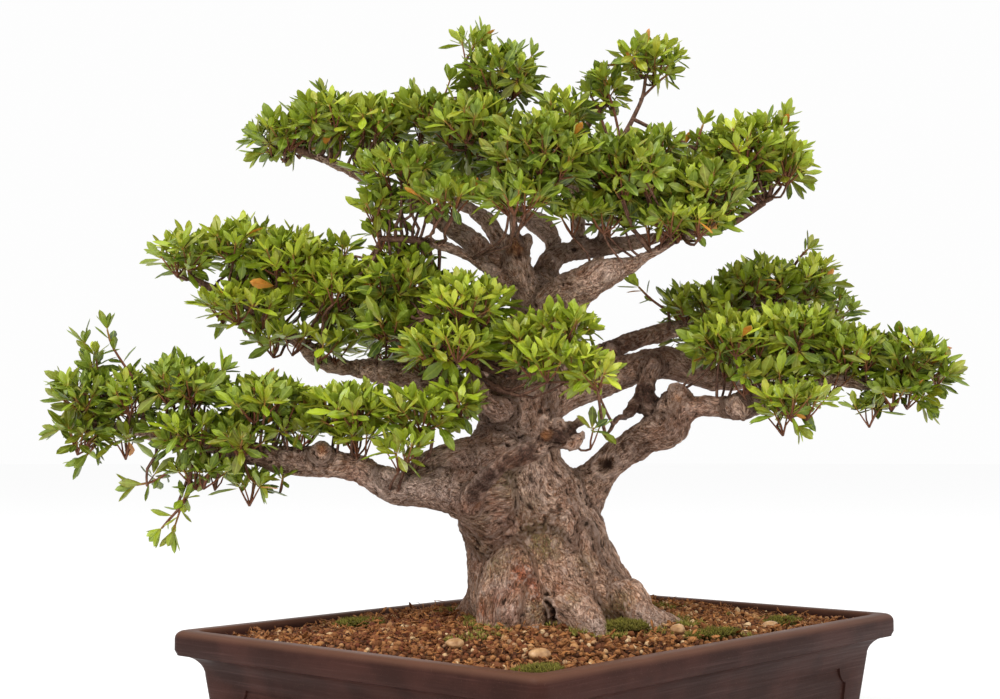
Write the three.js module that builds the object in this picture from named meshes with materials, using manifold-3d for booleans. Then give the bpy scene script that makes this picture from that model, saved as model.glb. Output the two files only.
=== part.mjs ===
// A satsuki azalea bonsai in a rectangular clay pot.
// Millimetres, +Z up, +X along the pot's long sides. The origin is the middle of the pot,
// on the surface that its feet stand on.

import * as THREE from 'three';
import { mergeVertices } from 'three/addons/utils/BufferGeometryUtils.js';
import Module from 'manifold-3d';

const wasm = await Module();
wasm.setup();

// Driving dimensions of the pot
const POT_LENGTH = 480;
const POT_WIDTH = 368;
const POT_HEIGHT = 130;
const FOOT_HEIGHT = 14;
const RIM_BAND = 18.5;
const RIM_OVERHANG = 17;
const COVE_HEIGHT = 16;
const WALL_LEAN = 0.13;
const FLOOR_THICKNESS = 12;
const PLAN_CORNER = 10;
const ARC_POINTS = 3;

// Driving dimensions of the soil and of what it hides
const SOIL_BELOW_RIM = 8;
const MOUND_RISE = 15;
const GAP = 0.4;
const DRAIN_X = 110;
const DRAIN_RADIUS = 16;
const WIRE_HOLE_X = 60;
const WIRE_HOLE_Y = -40;
const WIRE_HOLE_RADIUS = 3.5;
const SCREEN_SIZE = 46;
const SCREEN_THICKNESS = 1.2;
const SCREEN_PITCH = 12;
const SCREEN_MESH = 9.5;
const CLIP_RADIUS = 0.8;
const ANCHOR_RADIUS = 1;
const WIRE_SIDES = 5;

// The tree is laid out as it is seen from its front, which looks over one corner of the pot.
// The eye stands at this distance from the pot's middle, this high over the rim, and the pot's
// middle lies this far to the right of the line of sight.
const FRONT_AZIMUTH = THREE.MathUtils.degToRad(40.8);
const EYE_DISTANCE = 1226;
const EYE_OVER_RIM = 138;
const EYE_OFFSET = 42;
const RIGHT = new THREE.Vector3(Math.sin(FRONT_AZIMUTH), -Math.cos(FRONT_AZIMUTH), 0);
const AWAY = new THREE.Vector3(Math.cos(FRONT_AZIMUTH), Math.sin(FRONT_AZIMUTH), 0);

// How much smaller a thing looks that lies this far behind the pot's middle.
function depthScale(away) {
  return (EYE_DISTANCE + away) / EYE_DISTANCE;
}

// The place that is seen this far across and up from the middle of the rim, and lies this far
// behind it.
function seen(across, up, away) {
  const scale = depthScale(away);
  const right = (across + EYE_OFFSET) * scale - EYE_OFFSET;
  const height = POT_HEIGHT + EYE_OVER_RIM + (up - EYE_OVER_RIM) * scale;
  return new THREE.Vector3(0, 0, height).addScaledVector(RIGHT, right).addScaledVector(AWAY, away);
}

// Solids from three.js geometries, and back
function solid(geometry) {
  geometry.deleteAttribute('normal');
  geometry.deleteAttribute('uv');
  const merged = mergeVertices(geometry, 1e-4);
  const vertProperties = new Float32Array(merged.attributes.position.array);
  const triVerts = new Uint32Array(merged.index.array);
  return new wasm.Manifold(new wasm.Mesh({ numProp: 3, vertProperties, triVerts }));
}

function geometryOf(body) {
  const { vertProperties, triVerts } = body.getMesh();
  const geometry = new THREE.BufferGeometry();
  geometry.setAttribute('position', new THREE.BufferAttribute(vertProperties, 3));
  geometry.setIndex(new THREE.BufferAttribute(triVerts, 1));
  return geometry;
}

// The largest closed piece of a mesh. A cut can leave crumbs beside the piece that is meant.
function largestPiece(geometry) {
  const position = geometry.attributes.position;
  const index = geometry.index.array;
  const owner = Array.from({ length: position.count }, (_, vertex) => vertex);
  const rootOf = (vertex) => {
    let root = vertex;
    while (owner[root] !== root) {
      root = owner[root];
    }
    owner[vertex] = root;
    return root;
  };
  for (let i = 0; i < index.length; i += 3) {
    owner[rootOf(index[i + 1])] = rootOf(index[i]);
    owner[rootOf(index[i + 2])] = rootOf(index[i]);
  }
  const volumes = new Map();
  const corners = [new THREE.Vector3(), new THREE.Vector3(), new THREE.Vector3()];
  for (let i = 0; i < index.length; i += 3) {
    corners.forEach((corner, step) => corner.fromBufferAttribute(position, index[i + step]));
    const volume = corners[0].dot(corners[1].clone().cross(corners[2])) / 6;
    const root = rootOf(index[i]);
    volumes.set(root, (volumes.get(root) ?? 0) + volume);
  }
  const [largest] = [...volumes.entries()].sort((a, b) => b[1] - a[1])[0];
  const kept = [];
  for (let i = 0; i < index.length; i += 3) {
    if (rootOf(index[i]) === largest) {
      kept.push(index[i], index[i + 1], index[i + 2]);
    }
  }
  geometry.setIndex(kept);
  return geometry;
}

function join(solids) {
  return solids.reduce((whole, piece) => whole.add(piece));
}

function cut(body, cutters) {
  return cutters.reduce((rest, cutter) => rest.subtract(cutter), body);
}

function box(width, depth, height, x, y, z) {
  return solid(new THREE.BoxGeometry(width, depth, height).translate(x, y, z));
}

function uprightCylinder(radius, low, high, x, y, sides) {
  const geometry = new THREE.CylinderGeometry(radius, radius, high - low, sides);
  geometry.rotateX(Math.PI / 2);
  return solid(geometry.translate(x, y, (low + high) / 2));
}

// Moves each vertex of a unit cylinder. The place function gets the row, counted from the top,
// and the vertex's place in the unit circle.
function shapeCylinder(sides, rows, place) {
  const geometry = new THREE.CylinderGeometry(1, 1, 1, sides, rows);
  const position = geometry.attributes.position;
  for (let i = 0; i < position.count; i += 1) {
    const row = Math.round((0.5 - position.getY(i)) * rows);
    const point = place(row, position.getX(i), position.getZ(i));
    position.setXYZ(i, point.x, point.y, point.z);
  }
  return geometry;
}

// Lengthens a route at both ends.
function lengthen(points, by) {
  const last = points.length - 1;
  for (const [end, next] of [[0, 1], [last, last - 1]]) {
    const outward = points[end].clone().sub(points[next]).normalize();
    points[end].addScaledVector(outward, by);
  }
}

// A tapered round limb through waypoints of across, up, away and radius.
function limb(route, sides, grow = 0) {
  const points = route.map(([across, up, away]) => seen(across, up, away));
  lengthen(points, grow);
  const radii = route.map((waypoint) => waypoint[3] * depthScale(waypoint[2]) + grow);
  return sweep(points, radii, sides);
}

// A swept round body whose radius changes along its waypoints.
function sweep(points, radii, sides) {
  const curve = new THREE.CatmullRomCurve3(points);
  const rows = points.length - 1;
  const frames = [];
  const normal = new THREE.Vector3(0.31, 0.17, 0.93);
  for (let row = 0; row <= rows; row += 1) {
    const tangent = curve.getTangent(row / rows);
    normal.addScaledVector(tangent, -normal.dot(tangent)).normalize();
    const side = new THREE.Vector3().crossVectors(tangent, normal);
    frames.push({ centre: points[row], normal: normal.clone(), side, radius: radii[row] });
  }
  return solid(shapeCylinder(sides, rows, (row, x, z) => {
    const { centre, normal: first, side: second, radius } = frames[row];
    return centre.clone().addScaledVector(first, x * radius).addScaledVector(second, z * radius);
  }));
}

// A rounded lump with half sizes across, up and away.
function lump([across, up, away, halfAcross, halfUp, halfAway], grow = 0) {
  const geometry = new THREE.OctahedronGeometry(1, 1);
  const middle = seen(across, up, away);
  const scale = depthScale(away);
  const position = geometry.attributes.position;
  for (let i = 0; i < position.count; i += 1) {
    const point = middle.clone();
    point.addScaledVector(RIGHT, position.getX(i) * (halfAcross * scale + grow));
    point.addScaledVector(AWAY, -position.getZ(i) * (halfAway + grow));
    point.z += position.getY(i) * (halfUp * scale + grow);
    position.setXYZ(i, point.x, point.y, point.z);
  }
  return solid(geometry);
}

// A stack of rounded rectangles. Each level gives its height and its inset from the rim's outline.
function stack(levels, cornerRadius = PLAN_CORNER) {
  const sides = 4 * ARC_POINTS;
  const rows = levels.length - 1;
  return solid(shapeCylinder(sides, rows, (row, x, z) => {
    const [height, inset] = levels[rows - row];
    const point = new THREE.Vector3(0, 0, height);
    if (x === 0 && z === 0) {
      return point;
    }
    const turn = (Math.atan2(x, z) / (2 * Math.PI) + 1) % 1;
    const index = Math.round(turn * sides) % sides;
    const corner = Math.floor(index / ARC_POINTS);
    const angle = (corner + (index % ARC_POINTS) / (ARC_POINTS - 1)) * Math.PI / 2;
    const towardsX = corner === 0 || corner === 3 ? 1 : -1;
    const towardsY = corner < 2 ? 1 : -1;
    point.x = towardsX * (POT_LENGTH / 2 - inset - cornerRadius) + Math.cos(angle) * cornerRadius;
    point.y = towardsY * (POT_WIDTH / 2 - inset - cornerRadius) + Math.sin(angle) * cornerRadius;
    return point;
  }));
}

// The pot: a rim band, a cove under it, leaning walls with a sunk panel, and four corner feet.
const RIM_TOP_WIDTH = 14;
const COVE_TOP_INSET = 1.5;
const BAND_BOTTOM = POT_HEIGHT - RIM_BAND;
const WALL_TOP = BAND_BOTTOM - COVE_HEIGHT;
const FLOOR_TOP = FOOT_HEIGHT + FLOOR_THICKNESS;
const WALL_FOOT_INSET = RIM_OVERHANG + (WALL_TOP - FOOT_HEIGHT) * WALL_LEAN;
const WALL_THICKNESS = 13;

function potOutline() {
  const levels = [[FOOT_HEIGHT, WALL_FOOT_INSET + 2], [FOOT_HEIGHT + 3, WALL_FOOT_INSET]];
  for (let step = 0; step <= 4; step += 1) {
    const angle = (step / 4) * (Math.PI / 2);
    const inset = RIM_OVERHANG - (RIM_OVERHANG - COVE_TOP_INSET) * (1 - Math.cos(angle));
    levels.push([WALL_TOP + COVE_HEIGHT * Math.sin(angle), inset]);
  }
  levels.push([BAND_BOTTOM + 1.5, 0], [POT_HEIGHT - 5, 0], [POT_HEIGHT - 1.5, 1.5], [POT_HEIGHT, 5]);
  return levels;
}

// The hollow of the pot, made smaller all round for what fills it.
function hollowLevels(gap) {
  return [
    [FLOOR_TOP, WALL_FOOT_INSET + WALL_THICKNESS + gap],
    [WALL_TOP, RIM_OVERHANG + WALL_THICKNESS + gap],
    [BAND_BOTTOM, RIM_TOP_WIDTH + 4 + gap],
    [POT_HEIGHT - SOIL_BELOW_RIM, RIM_TOP_WIDTH + 1 + gap],
  ];
}

function panel(length, height, angle, wallInset) {
  const depth = 10;
  const shape = new THREE.Shape();
  shape.moveTo(-length / 2, -height / 2);
  shape.lineTo(length / 2, -height / 2);
  shape.lineTo(length / 2, height / 2);
  shape.lineTo(-length / 2, height / 2);
  const geometry = new THREE.ExtrudeGeometry(shape, { depth, bevelEnabled: false });
  geometry.rotateX(Math.PI / 2 + Math.atan(WALL_LEAN));
  geometry.translate(0, -wallInset, (WALL_TOP + FOOT_HEIGHT) / 2);
  return solid(geometry.rotateZ(angle));
}

function foot(towardsX, towardsY) {
  const armX = 70;
  const armY = 58;
  const width = 26;
  const inset = WALL_FOOT_INSET + 4;
  const x = towardsX * (POT_LENGTH / 2 - inset);
  const y = towardsY * (POT_WIDTH / 2 - inset);
  const height = FOOT_HEIGHT + 4;
  const along = box(armX, width, height, x - towardsX * armX / 2, y - towardsY * width / 2, height / 2);
  const across = box(width, armY, height, x - towardsX * width / 2, y - towardsY * armY / 2, height / 2);
  return along.add(across);
}

function makePot() {
  const outside = stack(potOutline());
  const mouth = hollowLevels(0);
  mouth.push([POT_HEIGHT - 1.5, RIM_TOP_WIDTH], [POT_HEIGHT + 1, RIM_TOP_WIDTH - 2]);
  const drains = [-1, 1].map((side) => uprightCylinder(DRAIN_RADIUS, 5, 40, side * DRAIN_X, 0, 16));
  const wireHoles = [-1, 1].map((side) => (
    uprightCylinder(WIRE_HOLE_RADIUS, 5, 40, side * WIRE_HOLE_X, WIRE_HOLE_Y, 8)));
  const sunk = 2;
  const middleInset = RIM_OVERHANG + (WALL_TOP - FOOT_HEIGHT) / 2 * WALL_LEAN + sunk;
  const fromCorner = 33;
  const panelHeight = WALL_TOP - FOOT_HEIGHT - 24;
  const longPanel = POT_LENGTH - 2 * (middleInset + fromCorner);
  const shortPanel = POT_WIDTH - 2 * (middleInset + fromCorner);
  const panels = [0, 1].flatMap((half) => [
    panel(longPanel, panelHeight, half * Math.PI, POT_WIDTH / 2 - middleInset),
    panel(shortPanel, panelHeight, (half + 0.5) * Math.PI, POT_LENGTH / 2 - middleInset),
  ]);
  const feet = [[1, 1], [-1, 1], [-1, -1], [1, -1]].map(([x, y]) => foot(x, y));
  return cut(join([outside, ...feet]), [stack(mouth), ...drains, ...wireHoles, ...panels]);
}

// The trunk and limbs. Each route lists across, up, away and radius, as the tree is seen.
const TRUNK = [
  [8, -34, 8, 58], [8, -12, 8, 72], [6, 8, 8, 74], [4, 26, 6, 66], [-2, 44, 4, 61], [-8, 62, 2, 58],
  [-18, 82, 2, 58], [-24, 100, 0, 56], [-28, 120, 0, 47], [-28, 142, 0, 36], [-26, 168, 2, 27],
  [-25, 190, 4, 25], [-22, 214, 5, 22], [-17, 238, 4, 20], [-11, 255, 2, 19], [-9, 270, 0, 16],
];
const LIMBS = {
  lowLeft: [
    [-30, 100, -12, 28], [-56, 100, -38, 20], [-78, 104, -54, 12], [-98, 106, -61, 9],
    [-119, 105, -63, 10], [-134, 106, -62, 11], [-153, 118, -60, 11.5], [-174, 124, -58, 11.5],
    [-192, 127, -56, 12.5], [-220, 131, -52, 11.5], [-247, 136, -48, 9.5], [-276, 143, -46, 8],
    [-310, 149, -45, 6.5], [-350, 158, -45, 4],
  ],
  shoulder: [[-28, 118, 0, 34], [-58, 116, -12, 30], [-82, 118, -18, 19], [-104, 122, -22, 9]],
  frontStub: [
    [-58, 88, -30, 12], [-66, 98, -56, 8], [-61, 110, -72, 7], [-49, 121, -82, 7], [-31, 131, -88, 7.5],
    [-14, 140, -90, 9], [6, 148, -90, 10.5], [28, 151, -88, 10],
  ],
  lowRight: [
    [10, 88, 10, 30], [31, 110, 8, 17], [48, 127, 4, 13.5], [73, 143, 0, 12], [95, 153, -5, 15],
    [108, 170, -9, 11.5], [127, 173, -12, 8], [158, 174, -20, 10.5], [184, 184, -25, 9.5],
    [207, 190, -28, 7.5], [231, 196, -30, 6], [255, 192, -32, 5], [286, 190, -36, 4],
  ],
  lowRightKnob: [[100, 164, -6, 9], [104, 178, -7, 9], [107, 192, -8, 7]],
  middleRight: [
    [-10, 178, 6, 20], [32, 198, 24, 12], [70, 207, 30, 10.5], [93, 216, 32, 11], [118, 207, 32, 9.5],
    [143, 199, 30, 8], [175, 204, 28, 6], [208, 212, 25, 4.5],
  ],
  middleRightStub: [[79, 207, 24, 6], [78, 186, 8, 6.5], [82, 172, 2, 6.5], [94, 160, -2, 7]],
  upperRight: [
    [-10, 196, 12, 14], [38, 221, 44, 7.5], [63, 233, 50, 7], [88, 240, 55, 6], [114, 244, 58, 5],
    [147, 253, 60, 4],
  ],
  upperLeft: [
    [-30, 172, 0, 18], [-68, 188, -4, 12], [-99, 200, -3, 10], [-128, 208, 0, 9], [-148, 209, 2, 8],
    [-169, 211, 4, 6.5], [-188, 217, 5, 6.5], [-206, 231, 6, 6], [-236, 251, 6, 5],
    [-276, 270, 5, 3.5],
  ],
  centreLeft: [
    [-40, 168, -20, 12], [-57, 180, -34, 7], [-62, 199, -40, 6], [-67, 218, -45, 5], [-80, 235, -50, 4],
    [-101, 248, -55, 3],
  ],
  raggedStub: [[-10, 256, -2, 18], [-22, 277, -9, 12.5], [-28, 293, -12, 11], [-29, 309, -12, 12]],
  leftArm: [
    [-14, 262, 0, 14], [-37, 283, 2, 11], [-51, 297, 5, 10], [-70, 314, 8, 9], [-88, 325, 10, 8],
    [-107, 339, 12, 6.5], [-136, 353, 14, 5], [-169, 370, 14, 4], [-212, 387, 12, 3],
  ],
  leftUpperArm: [
    [-24, 276, 8, 10], [-41, 306, 20, 8], [-52, 326, 30, 6.5], [-66, 336, 40, 5.5], [-82, 345, 50, 4.5],
    [-100, 364, 60, 3.5],
  ],
  leftThinArm: [
    [-20, 266, -6, 9], [-46, 282, -16, 5.5], [-70, 298, -22, 4.5], [-92, 307, -28, 4],
    [-136, 312, -34, 3],
  ],
  rightArm: [
    [-8, 260, 4, 12], [-3, 289, 12, 9], [10, 300, 16, 8.5], [28, 303, 20, 8], [47, 307, 22, 7.5],
    [66, 309, 22, 6.5], [90, 311, 20, 5], [118, 314, 18, 4], [160, 331, 15, 3],
  ],
  thickCutLimb: [
    [-6, 246, -4, 18], [10, 264, -20, 17.5], [24, 276, -29, 15.5], [38, 285, -34, 12], [52, 291, -36, 8.5],
    [66, 295, -36, 5.5], [86, 304, -34, 4], [112, 317, -30, 3],
  ],
  backArm: [
    [-2, 282, 16, 8], [2, 308, 40, 7], [-9, 324, 54, 8.5], [-25, 331, 68, 6], [-43, 340, 80, 4.5],
    [-67, 354, 94, 3.5], [-92, 372, 104, 3],
  ],
  topStem: [
    [24, 298, 20, 7], [23, 325, 28, 5.2], [20, 346, 32, 4.5], [18, 372, 32, 4], [28, 402, 26, 3],
    [44, 425, 20, 2.4],
  ],
  sprigStem: [
    [40, 300, 20, 5], [46, 340, 10, 4], [54, 392, 4, 3], [66, 414, 4, 2.6], [76, 438, 4, 2.4],
    [82, 456, 4, 2.2],
  ],
  topLeftStem: [
    [-27, 300, -8, 6], [-32, 335, -6, 4.5], [-38, 370, -8, 3.5], [-47, 403, -10, 3], [-58, 434, -10, 2.5],
    [-67, 458, -10, 2.2],
  ],
  backLow: [
    [-14, 120, 24, 24], [-26, 160, 66, 14], [-40, 185, 110, 10], [-58, 200, 155, 7], [-76, 212, 200, 4.5],
    [-92, 222, 236, 3],
  ],
  backUpper: [
    [-20, 196, 12, 16], [4, 226, 52, 10], [20, 250, 92, 7.5], [34, 280, 128, 6], [44, 316, 150, 4.5],
    [50, 342, 164, 3],
  ],
  backRight: [
    [-8, 180, 18, 16], [36, 201, 58, 10.5], [82, 212, 98, 8], [138, 224, 130, 6], [184, 236, 146, 4.5],
    [226, 244, 156, 3],
  ],
};
const ROOTS = {
  left: [[-34, 18, 6, 32], [-56, 4, 28, 17], [-80, -8, 44, 10], [-106, -24, 56, 5]],
  frontLobe: [[-24, 44, -22, 26], [-32, 24, -42, 25], [-34, 6, -56, 22], [-36, -16, -66, 14]],
  middleToe: [
    [12, 40, -20, 30], [24, 22, -52, 22], [34, 4, -84, 16], [42, -12, -104, 10], [48, -28, -120, 5],
  ],
  smallToe: [[48, 16, -30, 20], [62, 0, -60, 13], [72, -16, -78, 7]],
  right: [
    [28, 34, 4, 34], [54, 20, -8, 23], [80, 5, -22, 16], [102, -5, -36, 11], [122, -17, -48, 6],
  ],
  backLeft: [[-20, 36, 30, 34], [-44, 14, 70, 22], [-60, -4, 104, 13], [-74, -22, 132, 6]],
  backMiddle: [[16, 40, 34, 34], [22, 18, 74, 24], [28, 0, 108, 14], [34, -18, 138, 6]],
  backRight: [[28, 30, 26, 30], [54, 10, 56, 20], [82, -4, 82, 12], [106, -20, 104, 6]],
};
const TRUNK_SIDES = 12;
const LIMB_SIDES = 7;
const THIN_LIMB_SIDES = 5;
const THIN_LIMB_RADIUS = 8;
const CUTTER_SIDES = 5;

function wood() {
  const trunk = limb(TRUNK, TRUNK_SIDES);
  const roots = Object.values(ROOTS).map((route) => limb(route, LIMB_SIDES));
  const limbs = Object.values(LIMBS).map((route) => {
    const thickest = Math.max(...route.map((waypoint) => waypoint[3]));
    return limb(route, thickest > THIN_LIMB_RADIUS ? LIMB_SIDES : THIN_LIMB_SIDES);
  });
  return join([trunk, ...roots, ...limbs]);
}

// A body of fewer sides that goes around the limbs, for cutting the leaf masses clear of them.
function aroundLimbs() {
  const spread = 1 / Math.cos(Math.PI / CUTTER_SIDES);
  const routes = Object.values(LIMBS).map((route) => (
    route.map(([across, up, away, radius]) => [across, up, away, radius * spread])));
  return join(routes.map((route) => limb(route, CUTTER_SIDES, GAP * spread)));
}

// The foot of the tree, a little larger, for cutting the soil and what lies on it.
function aroundFoot() {
  const lowTrunk = TRUNK.slice(0, 5);
  const roots = Object.values(ROOTS).map((route) => limb(route, LIMB_SIDES, GAP));
  return join([limb(lowTrunk, TRUNK_SIDES, GAP), ...roots]);
}

// The leaf masses. Each lump lists across, up, away and its half sizes across, up and away.
const FOLIAGE = {
  foliage_crown_left: [
    [-226, 396, 10, 38, 20, 42], [-185, 410, 8, 38, 27, 52], [-146, 408, 6, 36, 30, 56],
  ],
  foliage_crown_lower_left: [
    [-122, 366, -48, 46, 24, 44], [-150, 338, -40, 24, 20, 34], [-88, 346, -66, 34, 20, 40],
  ],
  foliage_crown_top_left: [
    [-66, 403, -12, 42, 32, 60], [-42, 446, -10, 36, 30, 44], [-68, 474, -10, 16, 15, 20],
    [-104, 420, 0, 28, 22, 48],
  ],
  foliage_crown_front: [
    [-10, 378, -62, 52, 38, 50], [-28, 346, -78, 34, 20, 40], [10, 416, -40, 28, 22, 34],
  ],
  foliage_crown_middle_right: [[60, 366, -40, 46, 36, 50], [88, 396, -14, 24, 18, 30]],
  foliage_top_spray: [[46, 436, 18, 20, 25, 24]],
  foliage_crown_right: [[122, 352, -22, 48, 32, 56], [108, 328, -50, 42, 17, 40]],
  foliage_crown_far_right: [
    [160, 384, 6, 42, 34, 52], [197, 374, 4, 26, 26, 40], [184, 404, 6, 20, 17, 26],
  ],
  foliage_top_sprig: [[82, 462, 4, 32, 20, 30]],
  foliage_crown_back: [
    [36, 366, 130, 66, 40, 58], [-60, 380, 112, 54, 36, 52], [110, 366, 104, 44, 34, 46],
  ],
  foliage_upper_left_tip: [[-298, 298, 5, 34, 24, 38], [-256, 304, 5, 34, 27, 46]],
  foliage_upper_left: [
    [-214, 288, 4, 41, 34, 56], [-178, 270, 0, 34, 36, 58], [-252, 254, -8, 42, 22, 40],
  ],
  foliage_upper_left_inner: [[-124, 276, -8, 42, 29, 58], [-130, 240, -18, 34, 24, 46]],
  foliage_centre_left: [[-68, 258, -62, 40, 26, 46], [-84, 222, -66, 42, 25, 44]],
  foliage_low_left_tip: [
    [-390, 180, -46, 32, 30, 38], [-370, 216, -46, 18, 30, 24], [-394, 148, -46, 27, 23, 30],
    [-346, 180, -46, 30, 26, 40],
  ],
  foliage_low_left_outer: [
    [-300, 192, -46, 38, 25, 50], [-290, 150, -50, 48, 23, 44], [-288, 122, -54, 36, 16, 32],
  ],
  foliage_low_left_middle: [[-232, 182, -50, 42, 26, 54], [-254, 148, -66, 30, 18, 32]],
  foliage_low_left_inner: [
    [-166, 176, -62, 42, 26, 50], [-108, 172, -84, 42, 24, 40], [-122, 146, -102, 26, 13, 24],
    [-76, 180, -88, 26, 24, 34],
  ],
  foliage_low_left_shoot: [[-306, 70, -60, 15, 13, 14], [-300, 92, -60, 6, 16, 6]],
  foliage_centre_front: [
    [20, 236, -70, 34, 20, 34], [6, 204, -96, 46, 22, 32], [36, 192, -108, 28, 20, 28],
    [-18, 226, -66, 28, 24, 34],
  ],
  foliage_centre_tuft: [[39, 156, -86, 20, 11, 16]],
  foliage_right_upper: [
    [122, 264, 44, 42, 22, 44], [170, 280, 46, 42, 27, 50], [216, 284, 44, 26, 24, 38],
  ],
  foliage_right_middle: [[146, 226, -22, 40, 26, 50], [196, 232, -18, 42, 31, 54]],
  foliage_right_outer: [
    [246, 222, -24, 38, 26, 50], [290, 214, -32, 34, 29, 44], [316, 202, -36, 25, 23, 32],
    [286, 184, -38, 34, 15, 34],
  ],
  foliage_right_low: [[202, 174, -62, 38, 19, 36]],
  foliage_right_back: [[196, 250, 140, 62, 34, 52], [130, 232, 110, 40, 26, 40]],
  foliage_back_low: [
    [-84, 226, 216, 62, 34, 50], [-30, 214, 180, 46, 28, 44], [-130, 236, 176, 44, 28, 44],
  ],
};
const LUMP_GAP = 0.6;

function lumps(list, grow = 0) {
  return join(list.map((entry) => lump(entry, grow)));
}

// Moss cushions and pebbles lie on the soil. Each lists its place in the pot and its half sizes.
const MOSS = {
  moss_front: [-190, -142, 26, 18, 7],
  moss_between_roots: [-34, -98, 24, 18, 9],
  moss_right_root: [16, -142, 34, 14, 6],
  moss_right_end: [150, -118, 30, 20, 6],
  moss_left: [-120, 96, 26, 20, 6],
};
const PEBBLES = {
  pebble_front: [-150, -110, 9, 7, 5],
  pebble_left: [-168, -48, 8, 6, 4.5],
  pebble_root: [-6, -126, 7, 5, 5],
  pebble_right: [112, -136, 8, 6, 4.5],
};

function mound(x, y, halfX, halfY, halfHeight, height) {
  const geometry = new THREE.OctahedronGeometry(1, 1);
  geometry.scale(halfX, halfY, halfHeight);
  return solid(geometry.translate(x, y, height));
}

// The soil fills the hollow and is mounded up to the trunk.
const MOUND_HALF_X = 222;
const MOUND_HALF_Y = 164;
const MOUND_SINK = 2;

function soilHeightAt(x, y) {
  const level = POT_HEIGHT - SOIL_BELOW_RIM;
  const reach = 1 - (x / MOUND_HALF_X) ** 2 - (y / MOUND_HALF_Y) ** 2;
  return level - MOUND_SINK + MOUND_RISE * Math.sqrt(Math.max(reach, 0));
}

function soilBody() {
  const levels = hollowLevels(GAP).map(([height, inset]) => (
    [height + (height === FLOOR_TOP ? GAP : 0), inset]));
  const block = stack(levels);
  const dome = new THREE.SphereGeometry(1, 16, 8);
  dome.rotateX(Math.PI / 2);
  dome.scale(MOUND_HALF_X, MOUND_HALF_Y, MOUND_RISE);
  dome.translate(0, 0, POT_HEIGHT - SOIL_BELOW_RIM - MOUND_SINK);
  return block.add(solid(dome));
}

// What the soil hides: the screens over the drainage holes, their clips and the anchor wire.
const SCREEN_BOTTOM = FLOOR_TOP + GAP;
const SCREEN_TOP = SCREEN_BOTTOM + SCREEN_THICKNESS;
const CLIP_X = SCREEN_PITCH;

function makeScreen(x) {
  const height = (SCREEN_BOTTOM + SCREEN_TOP) / 2;
  const plate = box(SCREEN_SIZE, SCREEN_SIZE, SCREEN_THICKNESS, x, 0, height);
  const places = [-SCREEN_PITCH, 0, SCREEN_PITCH];
  const openings = places.flatMap((column) => places.map((row) => (
    box(SCREEN_MESH, SCREEN_MESH, 2 * SCREEN_THICKNESS, x + column, row, height))));
  return cut(plate, openings);
}

function makeClip(x) {
  const under = FOOT_HEIGHT - GAP - CLIP_RADIUS;
  const over = SCREEN_TOP + GAP + CLIP_RADIUS;
  const half = [
    [CLIP_X + 9, under], [CLIP_X + 1.2, under], [CLIP_X, under + 1.2], [CLIP_X, over - 2],
  ];
  const left = half.map(([away, height]) => new THREE.Vector3(x - away, 0, height));
  const right = half.map(([away, height]) => new THREE.Vector3(x + away, 0, height)).reverse();
  const middle = [-1, 1].map((side) => new THREE.Vector3(x + side * (CLIP_X - 2.5), 0, over));
  const points = [...left, ...middle, ...right];
  return sweep(points, points.map(() => CLIP_RADIUS), WIRE_SIDES);
}

function anchorWire(grow = 0) {
  const half = [
    [WIRE_HOLE_X - 14, WIRE_HOLE_Y, 11], [WIRE_HOLE_X - 4, WIRE_HOLE_Y, 11],
    [WIRE_HOLE_X, WIRE_HOLE_Y, 15], [WIRE_HOLE_X, WIRE_HOLE_Y, 34],
    [WIRE_HOLE_X + 22, WIRE_HOLE_Y - 26, 66], [WIRE_HOLE_X + 26, WIRE_HOLE_Y - 60, 92],
    [WIRE_HOLE_X - 20, WIRE_HOLE_Y - 88, 104],
  ];
  const left = half.map(([x, y, z]) => new THREE.Vector3(-x, y, z));
  const right = half.map(([x, y, z]) => new THREE.Vector3(x, y, z)).reverse();
  const points = [...left, ...right];
  return sweep(points, points.map(() => ANCHOR_RADIUS + grow), WIRE_SIDES);
}

// Materials
const COLOURS = {
  pot: [0x4f3a36, 0.55],
  soil: [0x9a6b41, 0.95],
  bark: [0x8b7768, 0.85],
  leaf: [0x5d8f2f, 0.5],
  moss: [0x7d8a35, 0.95],
  pebble: [0xd9c2a0, 0.6],
  screen: [0x2a2c2b, 0.6],
  wire: [0x8c8f92, 0.35],
};

const group = new THREE.Group();

function show(name, body, finish) {
  const [color, roughness] = COLOURS[finish];
  const metalness = finish === 'wire' ? 1 : 0;
  const geometry = largestPiece(geometryOf(body));
  const mesh = new THREE.Mesh(geometry, new THREE.MeshStandardMaterial({ color, roughness, metalness }));
  mesh.name = name;
  group.add(mesh);
}

const tree = wood();
const limbCutter = aroundLimbs();
const footCutter = aroundFoot();
const rawSoil = soilBody();
const screenPockets = [-1, 1].map((side) => (
  box(SCREEN_SIZE + 2 * GAP, SCREEN_SIZE + 2 * GAP, 12, side * DRAIN_X, 0, FLOOR_TOP)));
const soil = cut(rawSoil, [footCutter, anchorWire(GAP), ...screenPockets]);

show('pot', makePot(), 'pot');
show('soil', soil, 'soil');
show('trunk_and_branches', tree, 'bark');
for (const [name, x] of [['left', -DRAIN_X], ['right', DRAIN_X]]) {
  show(`drain_screen_${name}`, makeScreen(x), 'screen');
  show(`screen_clip_${name}`, makeClip(x), 'wire');
}
show('anchor_wire', anchorWire(), 'wire');

// Each leaf mass is cut clear of the wood and of the masses before it.
const placed = [];
for (const [name, list] of Object.entries(FOLIAGE)) {
  show(name, cut(lumps(list), [limbCutter, ...placed]), 'leaf');
  placed.push(lumps(list, LUMP_GAP));
}

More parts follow.
